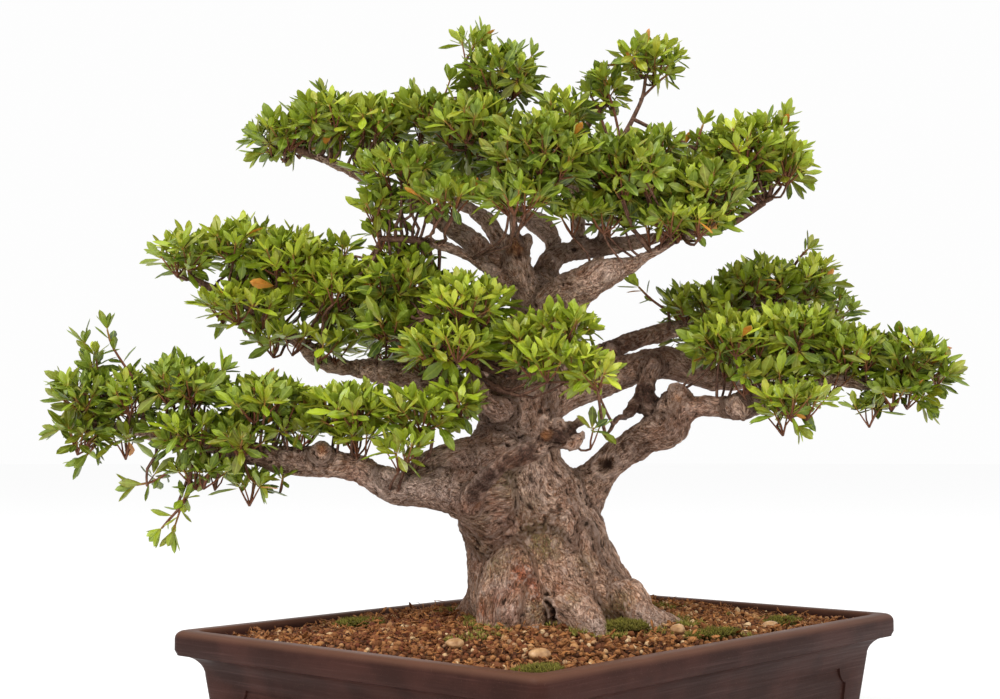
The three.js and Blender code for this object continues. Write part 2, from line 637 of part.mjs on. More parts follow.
const raisedSoil = rawSoil.translate([0, 0, GAP]);
for (const [name, [x, y, halfX, halfY, halfHeight]] of Object.entries(MOSS)) {
  const cushion = mound(x, y, halfX, halfY, halfHeight, soilHeightAt(x, y));
  show(name, cut(cushion, [raisedSoil, footCutter]), 'moss');
}
for (const [name, [x, y, halfX, halfY, halfHeight]] of Object.entries(PEBBLES)) {
  const height = soilHeightAt(x, y) + halfHeight * 0.7;
  show(name, cut(mound(x, y, halfX, halfY, halfHeight, height), [raisedSoil, footCutter]), 'pebble');
}

export default group;
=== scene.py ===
# %% [markdown]
# # A satsuki azalea bonsai in a clay pot
# The CAD model gives each part its place and size. This lesson gives the parts their looks:
# old flowing bark, whorls of small glossy leaves, granular soil with moss, and dark clay.
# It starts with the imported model, which is a fixed frame: nothing in it is moved.

# %% Load the frame
import itertools
import math

import bmesh
import bpy
import numpy as np
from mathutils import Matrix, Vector


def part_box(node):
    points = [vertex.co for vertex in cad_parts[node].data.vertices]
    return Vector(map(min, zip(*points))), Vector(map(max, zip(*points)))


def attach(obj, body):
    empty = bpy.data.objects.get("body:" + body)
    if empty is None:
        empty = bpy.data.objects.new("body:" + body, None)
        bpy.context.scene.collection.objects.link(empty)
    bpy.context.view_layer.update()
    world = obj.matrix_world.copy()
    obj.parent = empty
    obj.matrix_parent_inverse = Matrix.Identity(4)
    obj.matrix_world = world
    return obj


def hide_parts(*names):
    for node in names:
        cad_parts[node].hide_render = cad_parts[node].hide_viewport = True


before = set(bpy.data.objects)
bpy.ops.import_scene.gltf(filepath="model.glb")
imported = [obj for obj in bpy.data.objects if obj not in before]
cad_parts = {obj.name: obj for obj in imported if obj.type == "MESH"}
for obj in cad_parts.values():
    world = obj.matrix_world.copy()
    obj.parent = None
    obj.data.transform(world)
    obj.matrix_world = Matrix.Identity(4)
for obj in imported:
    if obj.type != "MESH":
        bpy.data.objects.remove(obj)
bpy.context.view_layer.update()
bpy.context.scene.view_settings.view_transform = "Standard"

# %% [markdown]
# The tree is laid out as it is seen from its front, which looks over one corner of the pot.
# A point is given by how far it is seen across and up from the middle of the rim, and how far
# it lies behind that, all in millimetres. A thing that lies further away looks smaller, so its
# real place and size are scaled up. Plain x, y and z would do too, but then every limb would
# have to be turned in the head before it could be compared with what is seen. The camera
# stands at the eye of this layout.

# %% The view layout and the camera
MM = 0.001
FRONT = math.radians(40.8)
EYE_DISTANCE = 1226
EYE_OVER_RIM = 138
EYE_OFFSET = 42
RIM_HEIGHT = 130
RIGHT = np.array([math.sin(FRONT), -math.cos(FRONT), 0.0])
AWAY = np.array([math.cos(FRONT), math.sin(FRONT), 0.0])
UP = np.array([0.0, 0.0, 1.0])
CAMERA_PITCH = math.radians(93.85)
SENSOR_WIDTH = 36
FOCAL_LENGTH = 54
EYE = (-AWAY * EYE_DISTANCE - RIGHT * EYE_OFFSET + UP * (RIM_HEIGHT + EYE_OVER_RIM)) * MM


def depth_scale(away):
    return (EYE_DISTANCE + away) / EYE_DISTANCE


def seen(across, up, away):
    scale = depth_scale(away)
    right = (across + EYE_OFFSET) * scale - EYE_OFFSET
    height = RIM_HEIGHT + EYE_OVER_RIM + (up - EYE_OVER_RIM) * scale
    return (RIGHT * right + AWAY * away + UP * height) * MM


def seen_at(points):
    """How far across, up and away points are seen, in millimetres: the way back from seen."""
    away = points @ AWAY / MM
    scale = depth_scale(away)
    across = (points @ RIGHT / MM + EYE_OFFSET) / scale - EYE_OFFSET
    up = EYE_OVER_RIM + (points[:, 2] / MM - RIM_HEIGHT - EYE_OVER_RIM) / scale
    return np.stack([across, up, away], 1)


bpy.ops.object.select_all(action="DESELECT")
bpy.ops.object.camera_add(location=EYE, rotation=(CAMERA_PITCH, 0, FRONT - math.pi / 2))
camera = bpy.context.object
camera.data.sensor_width = SENSOR_WIDTH
camera.data.lens = FOCAL_LENGTH
camera.data.clip_start = 0.01
camera.data.clip_end = 50
bpy.context.scene.camera = camera
print("eye, mm:", (EYE / MM).round())

# %% [markdown]
# A finish is a material made of nodes. They can be wired by hand in the shader editor, but a
# dozen layers of bark soon become a tangle. Written as Python, the maths reads like a formula:
# the class below wraps a socket, and each operation on it adds a Math node. Every other node
# comes from one method, which sets the node's settings first and then its sockets.


# %% Shader maths
class Value:
    def __init__(self, finish, socket):
        self.finish = finish
        self.socket = socket

    def __add__(self, other):
        return self.finish.math("ADD", self, other)

    def __radd__(self, other):
        return self.finish.math("ADD", other, self)

    def __sub__(self, other):
        return self.finish.math("SUBTRACT", self, other)

    def __rsub__(self, other):
        return self.finish.math("SUBTRACT", other, self)

    def __mul__(self, other):
        return self.finish.math("MULTIPLY", self, other)

    def __rmul__(self, other):
        return self.finish.math("MULTIPLY", other, self)


class Finish:
    """A node material. Constants go straight to the shader's sockets."""

    def __init__(self, name, **constants):
        self.material = bpy.data.materials.new(name)
        self.material.use_nodes = True
        self.tree = self.material.node_tree
        self.shader = self.tree.nodes["Principled BSDF"]
        for key, value in constants.items():
            self.shader.inputs[key.replace("_", " ")].default_value = value

    def add(self, kind, settings, inputs, output=0):
        node = self.tree.nodes.new(kind)
        for key, value in settings.items():
            if key == "stops":
                ramp = node.color_ramp
                while len(ramp.elements) < len(value):
                    ramp.elements.new(1)
                for element, (place, colour) in zip(ramp.elements, value):
                    element.position = place
                    element.color = (*colour, 1)
            else:
                setattr(node, key, value)
        for key, value in inputs.items():
            self.feed(node.inputs[key], value)
        return Value(self, node.outputs[output])

    def feed(self, socket, value):
        if isinstance(value, Value):
            self.tree.links.new(value.socket, socket)
        elif isinstance(value, tuple) and len(value) == 3 and socket.type == "RGBA":
            socket.default_value = (*value, 1)
        else:
            socket.default_value = value

    def math(self, operation, first, second=0.0):
        return self.add("ShaderNodeMath", {"operation": operation}, {0: first, 1: second})

    def step(self, value, low, high, start=0.0, end=1.0):
        """Goes smoothly from start to end as the value goes from low to high."""
        settings = {"interpolation_type": "SMOOTHSTEP"}
        inputs = {0: value, 1: low, 2: high, 3: start, 4: end}
        return self.add("ShaderNodeMapRange", settings, inputs)

    def blend(self, factor, first, second):
        """The first colour where the factor is 0, and the second where it is 1."""
        return self.add("ShaderNodeMix", {"data_type": "RGBA"}, {0: factor, 6: first, 7: second}, 2)

    def place(self):
        return self.add("ShaderNodeTexCoord", {}, {}, "Object")

    def attribute(self, name, output="Vector"):
        return self.add("ShaderNodeAttribute", {"attribute_name": name}, {}, output)

    def parts(self, vector):
        split = self.add("ShaderNodeSeparateXYZ", {}, {0: vector})
        return [Value(self, split.socket.node.outputs[axis]) for axis in "XYZ"]

    def stretch(self, vector, amounts):
        return self.add("ShaderNodeVectorMath", {"operation": "MULTIPLY"}, {0: vector, 1: amounts})

    def noise(self, vector, scale, detail=3.0, roughness=0.55, curl=0.0):
        inputs = {"Vector": vector, "Scale": scale, "Detail": detail, "Roughness": roughness,
                  "Distortion": curl}
        return self.add("ShaderNodeTexNoise", {}, inputs)

    def cells(self, vector, scale, output="Distance"):
        return self.add("ShaderNodeTexVoronoi", {}, {"Vector": vector, "Scale": scale}, output)

    def bump(self, height, distance, strength=1.0):
        inputs = {"Height": height, "Distance": distance, "Strength": strength}
        return self.add("ShaderNodeBump", {}, inputs)

    def wear(self, **links):
        """Feeds the shader's changing sockets, and returns the finished material."""
        for key, value in links.items():
            self.feed(self.shader.inputs[key.replace("_", " ")], value)
        print("finish:", self.material.name, "with", len(self.tree.nodes), "nodes")
        return self.material


def linear(red, green, blue):
    """A colour as it is picked on a screen, from 0 to 255, as light."""
    return tuple(((v / 255 + 0.055) / 1.055) ** 2.4 for v in (red, green, blue))


# %% [markdown]
# Natural shapes need random numbers that come out the same each time, so everything draws
# from one seeded source. The noise function is the usual smooth gradient noise: it gives
# each corner of a grid of cubes a random direction, and blends between the corners. Blender's
# own noise takes one point at a time, and this one takes a hundred thousand at once.

# %% Random numbers and noise
rng = np.random.default_rng(41)
GRADIENTS = np.random.default_rng(5).normal(size=(256, 3))
GRADIENTS /= np.linalg.norm(GRADIENTS, axis=1)[:, None]
SHUFFLE = np.random.default_rng(6).permutation(256)
NOISE_GAIN = 1.6


def noise(points):
    cell = np.floor(points).astype(int)
    inside = points - cell
    fade = inside ** 3 * (inside * (inside * 6 - 15) + 10)
    total = np.zeros(len(points))
    for corner in itertools.product((0, 1), repeat=3):
        x, y, z = (cell + corner).T & 255
        direction = GRADIENTS[SHUFFLE[(SHUFFLE[(SHUFFLE[x] + y) & 255] + z) & 255]]
        weight = np.where(corner, fade, 1 - fade).prod(axis=1)
        total += weight * ((inside - corner) * direction).sum(axis=1)
    return total * NOISE_GAIN


def unit(vectors):
    return vectors / np.maximum(np.linalg.norm(vectors, axis=-1, keepdims=True), 1e-12)


noise_trial = noise(np.random.default_rng(7).uniform(0, 30, (5000, 3)))
print("noise runs from", noise_trial.min().round(2), "to", noise_trial.max().round(2))

# %% [markdown]
# Pieces that are made of thousands of small shapes are written straight into one mesh,
# because an operator for each leaf or grain would take hours. The first helper takes points
# and faces as arrays, and gives the mesh its attributes and material. The others read points
# and normals back, smooth a value over a mesh, and join lots of points and faces.


# %% Pieces from arrays
def piece_of(name, points, faces, material, attributes=(), smooth=True):
    mesh = bpy.data.meshes.new(name)
    mesh.vertices.add(len(points))
    mesh.vertices.foreach_set("co", np.asarray(points, np.float32).ravel())
    mesh.loops.add(faces.size)
    mesh.loops.foreach_set("vertex_index", faces.astype(np.int32).ravel())
    mesh.polygons.add(len(faces))
    mesh.polygons.foreach_set("loop_start", np.arange(len(faces), dtype=np.int32) * faces.shape[1])
    mesh.update(calc_edges=True)
    for key, values in dict(attributes).items():
        give(mesh, key, values)
    if smooth:
        mesh.shade_smooth()
    else:
        mesh.shade_flat()
    mesh.materials.append(material)
    piece = bpy.data.objects.new(name, mesh)
    bpy.context.scene.collection.objects.link(piece)
    return piece


def give(mesh, key, values):
    values = np.asarray(values, np.float32)
    kind, field = ("FLOAT_VECTOR", "vector") if values.ndim == 2 else ("FLOAT", "value")
    attribute = mesh.attributes.new(key, kind, "POINT")
    attribute.data.foreach_set(field, values.ravel())


def points_of(mesh):
    values = np.empty(len(mesh.vertices) * 3, np.float32)
    mesh.vertices.foreach_get("co", values)
    return values.reshape(-1, 3).astype(float)


def normals_of(mesh):
    values = np.empty(len(mesh.vertices) * 3, np.float32)
    mesh.vertex_normals.foreach_get("vector", values)
    return values.reshape(-1, 3).astype(float)


def spread(mesh, values, rounds):
    """Averages each point's value with its neighbours', several times."""
    edges = np.empty(len(mesh.edges) * 2, np.int32)
    mesh.edges.foreach_get("vertices", edges)
    one, other = edges.reshape(-1, 2).T
    count = np.bincount(edges, minlength=len(values))
    flat = values.reshape(len(values), -1).copy()
    for _ in range(rounds):
        for axis in range(flat.shape[1]):
            column = flat[:, axis]
            total = (np.bincount(one, column[other], len(column))
                     + np.bincount(other, column[one], len(column)))
            flat[:, axis] = 0.5 * column + 0.5 * total / np.maximum(count, 1)
    return flat.reshape(values.shape)


def gather(parts):
    """Joins several lots of points and faces into one."""
    shift = np.cumsum([0] + [len(points) for points, _ in parts])
    return (np.vstack([points for points, _ in parts]),
            np.vstack([faces + start for (_, faces), start in zip(parts, shift)]))


def settle(piece, slot, *nodes):
    """The piece rides on the one body and stands for its nodes. The slot is not used."""
    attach(piece, "root")
    if nodes:
        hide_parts(*nodes)
    print(piece.name, "triangles:", sum(len(p.vertices) - 2 for p in piece.data.polygons))


# %% [markdown]
# Other pieces are modelled by hand: a primitive is added at its size and place, and shaped
# in edit mode. What is to be worked on is picked by where it lies or which way it faces, as
# the numbers of points and faces change with every cut.


# %% Modelling by hand
def begin(primitive, **options):
    """Adds a primitive with nothing else selected, and opens it for editing."""
    bpy.ops.object.select_all(action="DESELECT")
    primitive(**options)
    bpy.ops.object.transform_apply(location=True, rotation=True, scale=True)
    bpy.ops.object.mode_set(mode="EDIT")


def shape_now():
    return bmesh.from_edit_mesh(bpy.context.edit_object.data)


def pick(kind, test):
    """Selects the vertices, edges or faces that pass a test."""
    bpy.ops.mesh.select_mode(type=kind)
    bpy.ops.mesh.select_all(action="DESELECT")
    shape = shape_now()
    items = {"VERT": shape.verts, "EDGE": shape.edges, "FACE": shape.faces}[kind]
    for item in items:
        item.select_set(bool(test(item)))
    bmesh.update_edit_mesh(bpy.context.edit_object.data)


def end(name="piece"):
    bpy.ops.object.mode_set(mode="OBJECT")
    bpy.context.object.name = name
    return bpy.context.object


def modify(piece, kind, **settings):
    """Puts a modifier on a piece and applies it."""
    bpy.ops.object.select_all(action="DESELECT")
    piece.select_set(True)
    bpy.context.view_layer.objects.active = piece
    modifier = piece.modifiers.new(kind.lower(), kind)
    for key, value in settings.items():
        setattr(modifier, key, value)
    bpy.ops.object.modifier_apply(modifier=modifier.name)


def carve(piece, cutter, operation="DIFFERENCE"):
    """Cuts the cutter out of the piece, or joins it on, and takes the cutter away."""
    modify(piece, "BOOLEAN", operation=operation, solver="EXACT", object=cutter)
    bpy.data.objects.remove(cutter)


def pattern_of(piece):
    """Takes a finished shape off the scene as points and triangles, to be repeated."""
    piece.data.calc_loop_triangles()
    faces = np.array([t.vertices for t in piece.data.loop_triangles])
    points = points_of(piece.data)
    bpy.data.objects.remove(piece)
    return points, faces


# %% [markdown]
# ## The trunk, the roots and the limbs
# The wood grew as one piece. It could be sculpted, or joined from tubes with booleans, which
# leave a hard seam at every fork. Here it is drawn as strands, each a row of waypoints of
# across, up, away and radius, because a limb is then moved by changing a few numbers. The
# strands are first made as tubes. A voxel remesh then melts the tubes into one skin, as the
# real wood flows from one limb into the next.

# %% The strands
TRUNK = {
    "trunk": [
        (6, -34, 8, 58), (5, -12, 8, 67), (2, 8, 8, 67), (-1, 26, 6, 61), (-7, 44, 4, 56),
        (-13, 62, 2, 53), (-20, 82, 2, 52), (-26, 100, 0, 50), (-30, 120, 0, 41), (-30, 142, 0, 33),
        (-27, 168, 2, 27), (-25, 190, 4, 25), (-22, 214, 5, 22), (-17, 238, 4, 20), (-11, 255, 2, 19),
        (-9, 270, 0, 16),
    ],
    "right flank": [
        (2, 92, -8, 26), (5, 70, -16, 27), (14, 48, -22, 25), (30, 27, -28, 22), (50, 13, -34, 18),
        (71, 3, -38, 14), (96, -10, -38, 11),
    ],
    "middle flank": [
        (-14, 74, -20, 26), (-10, 56, -30, 27), (-3, 38, -42, 25), (8, 22, -56, 22), (21, 7, -74, 18),
        (33, -7, -92, 13), (42, -18, -106, 9), (47, -29, -118, 5),
    ],
    "left flank": [
        (-58, 86, -4, 18), (-48, 62, -8, 20), (-44, 42, -14, 22), (-44, 24, -26, 22), (-48, 8, -38, 20),
    ],
    "front lobe": [
        (-30, 46, -42, 18), (-34, 32, -54, 23), (-38, 14, -62, 24), (-42, -2, -68, 20),
        (-42, -20, -74, 12),
    ],
}
ROOTS = {
    "lobe toe": [(-27, 34, -58, 13), (-20, 18, -68, 13), (-17, 2, -74, 11), (-15, -12, -80, 8)],
    "left": [(-34, 18, 6, 32), (-58, 4, 24, 19), (-80, -8, 40, 11), (-106, -24, 52, 5)],
    "small toe": [(58, 24, -40, 15), (70, 8, -58, 13), (80, -6, -70, 10), (88, -20, -80, 6)],
    "right": [
        (20, 26, 4, 30), (47, 14, -8, 22), (74, 0, -22, 15), (98, -9, -36, 12), (122, -21, -48, 6),
    ],
    "back left": [(-20, 36, 30, 34), (-44, 14, 70, 22), (-60, -4, 104, 13), (-74, -22, 132, 6)],
    "back middle": [(16, 40, 34, 34), (22, 18, 74, 24), (28, 0, 108, 14), (34, -18, 138, 6)],
    "back right": [(28, 30, 26, 30), (54, 10, 56, 20), (82, -4, 82, 12), (106, -20, 104, 6)],
}
LIMBS = {
    "low left": [
        (-30, 98, -12, 30), (-54, 99, -36, 26), (-78, 104, -50, 19), (-98, 105, -58, 14),
        (-119, 104, -62, 12), (-136, 111, -62, 12), (-153, 122, -60, 12), (-174, 127, -58, 11.5),
        (-192, 129, -56, 13), (-220, 131, -52, 11.5), (-247, 136, -48, 9.5), (-276, 143, -46, 8),
        (-310, 149, -45, 6.5), (-336, 154, -45, 5), (-362, 160, -45, 3.4),
    ],
    "shoulder": [
        (-28, 124, -6, 34), (-54, 124, -22, 31), (-76, 126, -32, 23), (-98, 124, -38, 16),
        (-118, 116, -50, 9),
    ],
    "front stub": [
        (-56, 92, -44, 11), (-66, 95, -62, 8.5), (-60, 107, -74, 8), (-50, 119, -82, 8.5),
        (-38, 129, -88, 7), (-24, 134, -90, 8), (-10, 141, -90, 8), (0, 149, -90, 8.5),
        (10, 152, -88, 7),
    ],
    "low right": [
        (10, 88, 10, 30), (31, 111, 8, 18), (48, 130, 4, 14), (73, 146, 0, 13), (95, 155, -5, 15),
        (108, 170, -9, 12), (127, 174, -12, 8.5), (158, 175, -20, 10.5), (184, 184, -25, 9.5),
        (207, 190, -28, 7.5), (231, 196, -30, 6), (255, 192, -32, 5), (286, 190, -36, 4),
        (306, 193, -38, 3),
    ],
    "low right knob": [(96, 160, -6, 11), (101, 175, -7, 12), (106, 188, -8, 8)],
    "middle right": [
        (-10, 176, 6, 20), (22, 188, 18, 15), (46, 197, 26, 13.5), (70, 205, 30, 13),
        (93, 211, 32, 13.5), (116, 203, 32, 12), (143, 196, 30, 10.5), (175, 200, 28, 8),
        (208, 210, 25, 5.5), (243, 218, 20, 3),
    ],
    "middle right stub": [
        (84, 208, 22, 8), (79, 194, 12, 7), (76, 182, 6, 8.5), (82, 172, 2, 8.5), (94, 167, -2, 7),
    ],
    "middle right spur": [(72, 178, 4, 6), (65, 172, 0, 4.5), (61, 165, -2, 3.6)],
    "upper right": [
        (-10, 192, 12, 14), (38, 214, 44, 8.5), (63, 226, 50, 8.5), (88, 234, 55, 7.5),
        (114, 241, 58, 6), (147, 253, 60, 4), (184, 263, 60, 3),
    ],
    "upper left": [
        (-30, 170, 0, 18), (-68, 185, -4, 12), (-99, 195, -3, 11), (-128, 200, 0, 10),
        (-148, 204, 2, 9), (-169, 206, 4, 7.5), (-188, 211, 5, 7), (-206, 226, 6, 6), (-236, 249, 6, 5),
        (-262, 263, 5, 4), (-296, 279, 5, 3),
    ],
    "centre left": [
        (-40, 168, -20, 12), (-57, 180, -34, 8), (-62, 199, -40, 7), (-67, 218, -45, 6),
        (-80, 235, -50, 4.5), (-101, 248, -55, 3),
    ],
    "ragged stub": [(-10, 256, -2, 17), (-22, 277, -9, 11.5), (-28, 292, -12, 10), (-29, 305, -12, 10)],
    "left arm": [
        (-14, 262, 0, 14), (-37, 283, 2, 11), (-51, 297, 5, 10), (-70, 314, 8, 9), (-88, 325, 10, 8),
        (-107, 339, 12, 6.5), (-136, 353, 14, 5), (-169, 370, 14, 4), (-206, 385, 12, 3.2),
        (-238, 394, 10, 2.5),
    ],
    "left upper arm": [
        (-24, 276, 8, 10), (-41, 306, 20, 8), (-52, 326, 30, 6.5), (-66, 336, 40, 5.5),
        (-82, 345, 50, 4.5), (-100, 364, 60, 3.5),
    ],
    "left thin arm": [
        (-20, 266, -6, 9), (-46, 282, -16, 5.5), (-70, 298, -22, 4.5), (-92, 307, -28, 4),
        (-116, 311, -32, 3.2), (-140, 312, -35, 2.6),
    ],
    "right arm": [
        (-8, 260, 4, 12), (-3, 289, 12, 9), (10, 300, 16, 8.5), (28, 303, 20, 8), (47, 305, 22, 7.5),
        (66, 309, 22, 6.5), (90, 313, 20, 5), (118, 316, 18, 4), (147, 324, 15, 3.2),
        (176, 342, 12, 2.6),
    ],
    "thick cut limb": [
        (-6, 244, -4, 18), (9, 261, -20, 17.5), (24, 274, -29, 16), (38, 281, -34, 13.5),
        (52, 286, -36, 11), (65, 290, -36, 7.5), (76, 296, -36, 4.5), (92, 305, -34, 3.6),
        (112, 318, -30, 3),
    ],
    "back arm": [
        (-2, 282, 16, 8), (2, 308, 40, 7), (-8, 322, 54, 9), (-25, 331, 68, 6), (-43, 340, 80, 4.5),
        (-67, 354, 94, 3.5), (-92, 372, 104, 3),
    ],
    "top stem": [
        (24, 298, 20, 7), (23, 325, 28, 5.2), (20, 346, 32, 4.5), (18, 372, 32, 4), (28, 402, 26, 3),
        (44, 425, 20, 2.4),
    ],
    "sprig stem": [
        (40, 300, 20, 5), (46, 340, 10, 3.8), (56, 386, 4, 2.6), (68, 412, 4, 1.9), (76, 430, 4, 1.6),
        (79, 448, 4, 1.4),
    ],
    "top left stem": [
        (-27, 300, -8, 6), (-32, 335, -6, 4.5), (-38, 370, -8, 3.5), (-47, 403, -10, 3),
        (-58, 434, -10, 2.5), (-67, 458, -10, 2.2),
    ],
    "back low": [
        (-14, 120, 24, 24), (-26, 160, 66, 14), (-40, 185, 110, 10), (-58, 200, 155, 7),
        (-76, 212, 200, 4.5), (-92, 222, 236, 3),
    ],
    "back upper": [
        (-20, 196, 12, 16), (4, 226, 52, 10), (20, 250, 92, 7.5), (34, 280, 128, 6),
        (44, 316, 150, 4.5), (50, 342, 164, 3),
    ],
    "back right limb": [
        (-8, 180, 18, 16), (36, 201, 58, 10.5), (82, 212, 98, 8), (138, 224, 130, 6),
        (184, 236, 146, 4.5), (226, 244, 156, 3),
    ],
}
KNOBS = {
    "stub end upper": [(2, 152, -92, 7), (8, 160, -95, 5), (7, 167, -95, 3.6)],
    "stub end lower": [(8, 149, -92, 7), (19, 148, -97, 5.5), (27, 151, -99, 4.5)],
    "stub end right": [(10, 154, -88, 6), (22, 161, -86, 4.5), (30, 160, -88, 3.6)],
    "stub end under": [(4, 148, -90, 6), (14, 142, -94, 5), (22, 141, -96, 4)],
    "stub spike": [(-2, 154, -94, 5), (-6, 164, -96, 4), (-9, 172, -96, 3.5)],
    "left limb knob": [(-186, 132, -60, 9), (-188, 138, -69, 8), (-189, 139, -73, 6)],
    "left limb bump": [(-128, 112, -62, 10), (-134, 118, -70, 8), (-136, 120, -74, 5)],
    "right limb swelling": [(150, 174, -22, 10), (156, 168, -30, 8), (158, 164, -34, 5)],
    "ragged left": [(-31, 302, -14, 7), (-37, 311, -14, 5), (-39, 316, -14, 3.6)],
    "ragged right": [(-25, 302, -14, 7), (-20, 311, -14, 5), (-17, 315, -14, 3.6)],
    "cut on the upper right limb": [(48, 219, 44, 7), (48, 219, 34, 6), (48, 219, 30, 5)],
}
print("strands:", len(TRUNK) + len(ROOTS) + len(LIMBS) + len(KNOBS))

# %% [markdown]
# A smooth curve is passed through the waypoints of each strand. Every point of it keeps its
# radius, its direction, two directions across it, and how far along the strand it lies. The
# bark's pattern follows these later, so that its wrinkles run with the wood.


# %% From waypoints to tubes
SLANTWISE = (0.31, 0.17, 0.93)
SWELL_SCALE = 28
POINTED_END = 0.5


def curve_through(knots, step=3.0 * MM):
    """Rows of a smooth curve through rows that start with x, y and z."""
    padded = np.vstack([2 * knots[0] - knots[1], knots, 2 * knots[-1] - knots[-2]])
    rows = []
    for before, start, finish, after in zip(padded, padded[1:], padded[2:], padded[3:]):
        count = max(2, math.ceil(np.linalg.norm((finish - start)[:3]) / step))
        t = np.arange(count)[:, None] / count
        rows.append(0.5 * (
            2 * start + (finish - before) * t + (2 * before - 5 * start + 4 * finish - after) * t ** 2
            + (3 * start - before - 3 * finish + after) * t ** 3))
    return np.vstack([*rows, knots[-1:]])


def strand_along(rows):
    """The strand along rows of x, y, z and radius. Its two side directions don't twist."""
    centres = rows[:, :3]
    steps = np.linalg.norm(np.diff(centres, axis=0), axis=1)
    tangents = unit(np.gradient(centres, axis=0))
    first = np.empty_like(centres)
    normal = np.array(SLANTWISE)
    for i, tangent in enumerate(tangents):
        normal = unit(normal - normal.dot(tangent) * tangent)
        first[i] = normal
    return {
        "centre": centres, "radius": rows[:, 3], "tangent": tangents, "first": first,
        "second": np.cross(tangents, first), "along": np.concatenate([[0], np.cumsum(steps)]),
    }


def strand_of(route):
    knots = np.array([
        [*seen(across, up, away), radius * depth_scale(away) * MM]
        for across, up, away, radius in route])
    return strand_along(curve_through(knots))


def tube_of(strand, sides, swell=0.0):
    """A closed tube with pointed ends, as points and triangles."""
    angles = np.arange(sides) * 2 * math.pi / sides
    radius = strand["radius"][:, None, None]
    circle = (
        np.cos(angles)[None, :, None] * strand["first"][:, None]
        + np.sin(angles)[None, :, None] * strand["second"][:, None])
    if swell:
        rows = strand["centre"][:, None] + circle * radius
        swelling = noise(rows.reshape(-1, 3) * SWELL_SCALE).reshape(len(rows), sides, 1)
        radius = radius * (1 + swell * swelling)
    rings = strand["centre"][:, None] + circle * radius
    ends = [strand["centre"][0] - strand["tangent"][0] * strand["radius"][0] * POINTED_END,
            strand["centre"][-1] + strand["tangent"][-1] * strand["radius"][-1] * POINTED_END]
    points = np.vstack([rings.reshape(-1, 3), ends])
    row, column = np.meshgrid(np.arange(len(rings) - 1), np.arange(sides), indexing="ij")
    a = (row * sides + column).ravel()
    b = (row * sides + (column + 1) % sides).ravel()
    sheets = [np.stack([a, b, b + sides], 1), np.stack([a, b + sides, a + sides], 1)]
    low = np.arange(sides)
    high = low + (len(rings) - 1) * sides
    tips = [np.stack([np.full(sides, len(points) - 2), np.roll(low, -1), low], 1),
            np.stack([np.full(sides, len(points) - 1), high, np.roll(high, -1)], 1)]
    return points, np.vstack(sheets + tips)


strands = {name: strand_of(route) for name, route in {**TRUNK, **ROOTS, **LIMBS, **KNOBS}.items()}
samples = {
    key: np.concatenate([strand[key] for strand in strands.values()]) for key in strands["trunk"]}
strand_starts = np.cumsum([0] + [len(strand["radius"]) for strand in strands.values()])[:-1]
print("points along the strands:", len(samples["radius"]))

# %% [markdown]
# Thin ends are left out of the remesh, because they are finer than its voxels: they come
# back as tubes with the twigs. Where two strands meet, a little wood fills the fork. The
# thick strands are then drawn towards a smoothed copy of the skin, so that the lobes of the
# trunk run into one mass, as in old wood.

# %% The skin of the wood
VOXEL = 2.2 * MM
THINNEST = 3.4 * MM
TRUNK_TUBE = (40, 0.09)
LIMB_TUBE = (20, 0.13)
POINTS_AT_ONCE = 4000
FILL_SHARE = 0.2
FILL_GROWS_TO = 0.026
LEAST_FILL = 0.5 * MM
MELT_FROM = 13
MELT_WITHIN = 8
MELT = 0.85


def thick_part(strand):
    thick = np.flatnonzero(strand["radius"] > THINNEST)
    return {key: values[:thick[-1] + 1] for key, values in strand.items()}


points, faces = gather([
    tube_of(thick_part(strand), *(TRUNK_TUBE if name == "trunk" else LIMB_TUBE))
    for name, strand in strands.items()])
wood = piece_of("trunk_and_limbs", points, faces, bpy.data.materials.new("raw wood"))
modify(wood, "REMESH", mode="VOXEL", voxel_size=VOXEL)
modify(wood, "SMOOTH", factor=0.5, iterations=4)
print("wood skin:", len(wood.data.vertices), "points")


def nearest_sample(points):
    """For each point the strand sample whose surface is nearest, and how much wood fills in."""
    found = np.empty(len(points), int)
    fill = np.empty(len(points))
    centres, radii = samples["centre"].astype(np.float32), samples["radius"].astype(np.float32)
    for start in range(0, len(points), POINTS_AT_ONCE):
        these = slice(start, start + POINTS_AT_ONCE)
        part = points[these].astype(np.float32)
        gap = np.sqrt(((part[:, None] - centres[None]) ** 2).sum(axis=2)) - radii
        near = gap.argmin(axis=1)
        found[these] = near
        reach = FILL_SHARE * np.minimum(radii[near], FILL_GROWS_TO) + LEAST_FILL
        of_strands = np.minimum.reduceat(gap, strand_starts, axis=1)
        share = np.exp(-(of_strands - of_strands.min(axis=1, keepdims=True)) / reach[:, None])
        fill[these] = reach * np.log(share.sum(axis=1))
    return found, fill


skin = points_of(wood.data)
near, fill = nearest_sample(skin)
fill = spread(wood.data, fill, 3)
melt = np.clip((samples["radius"][near] / MM - MELT_FROM) / MELT_WITHIN, 0, 1)
melt = spread(wood.data, melt, 8)[:, None]
skin = skin + normals_of(wood.data) * fill[:, None]
skin = skin + MELT * melt * (spread(wood.data, skin, 70) - skin)
wood.data.vertices.foreach_set("co", skin.astype(np.float32).ravel())
wood.data.update()
modify(wood, "SMOOTH", factor=0.5, iterations=6)
print("fill, mm:", (fill.mean() / MM).round(2), "up to", (fill.max() / MM).round(2))

# %% [markdown]
# Old wounds, holes, knots and gnarled broken ends are set by where they are seen on the
# front: across, up, size, and depth, height or strength. They could be cut with booleans, but
# a wound in wood has no sharp edge, so they are part of the relief.

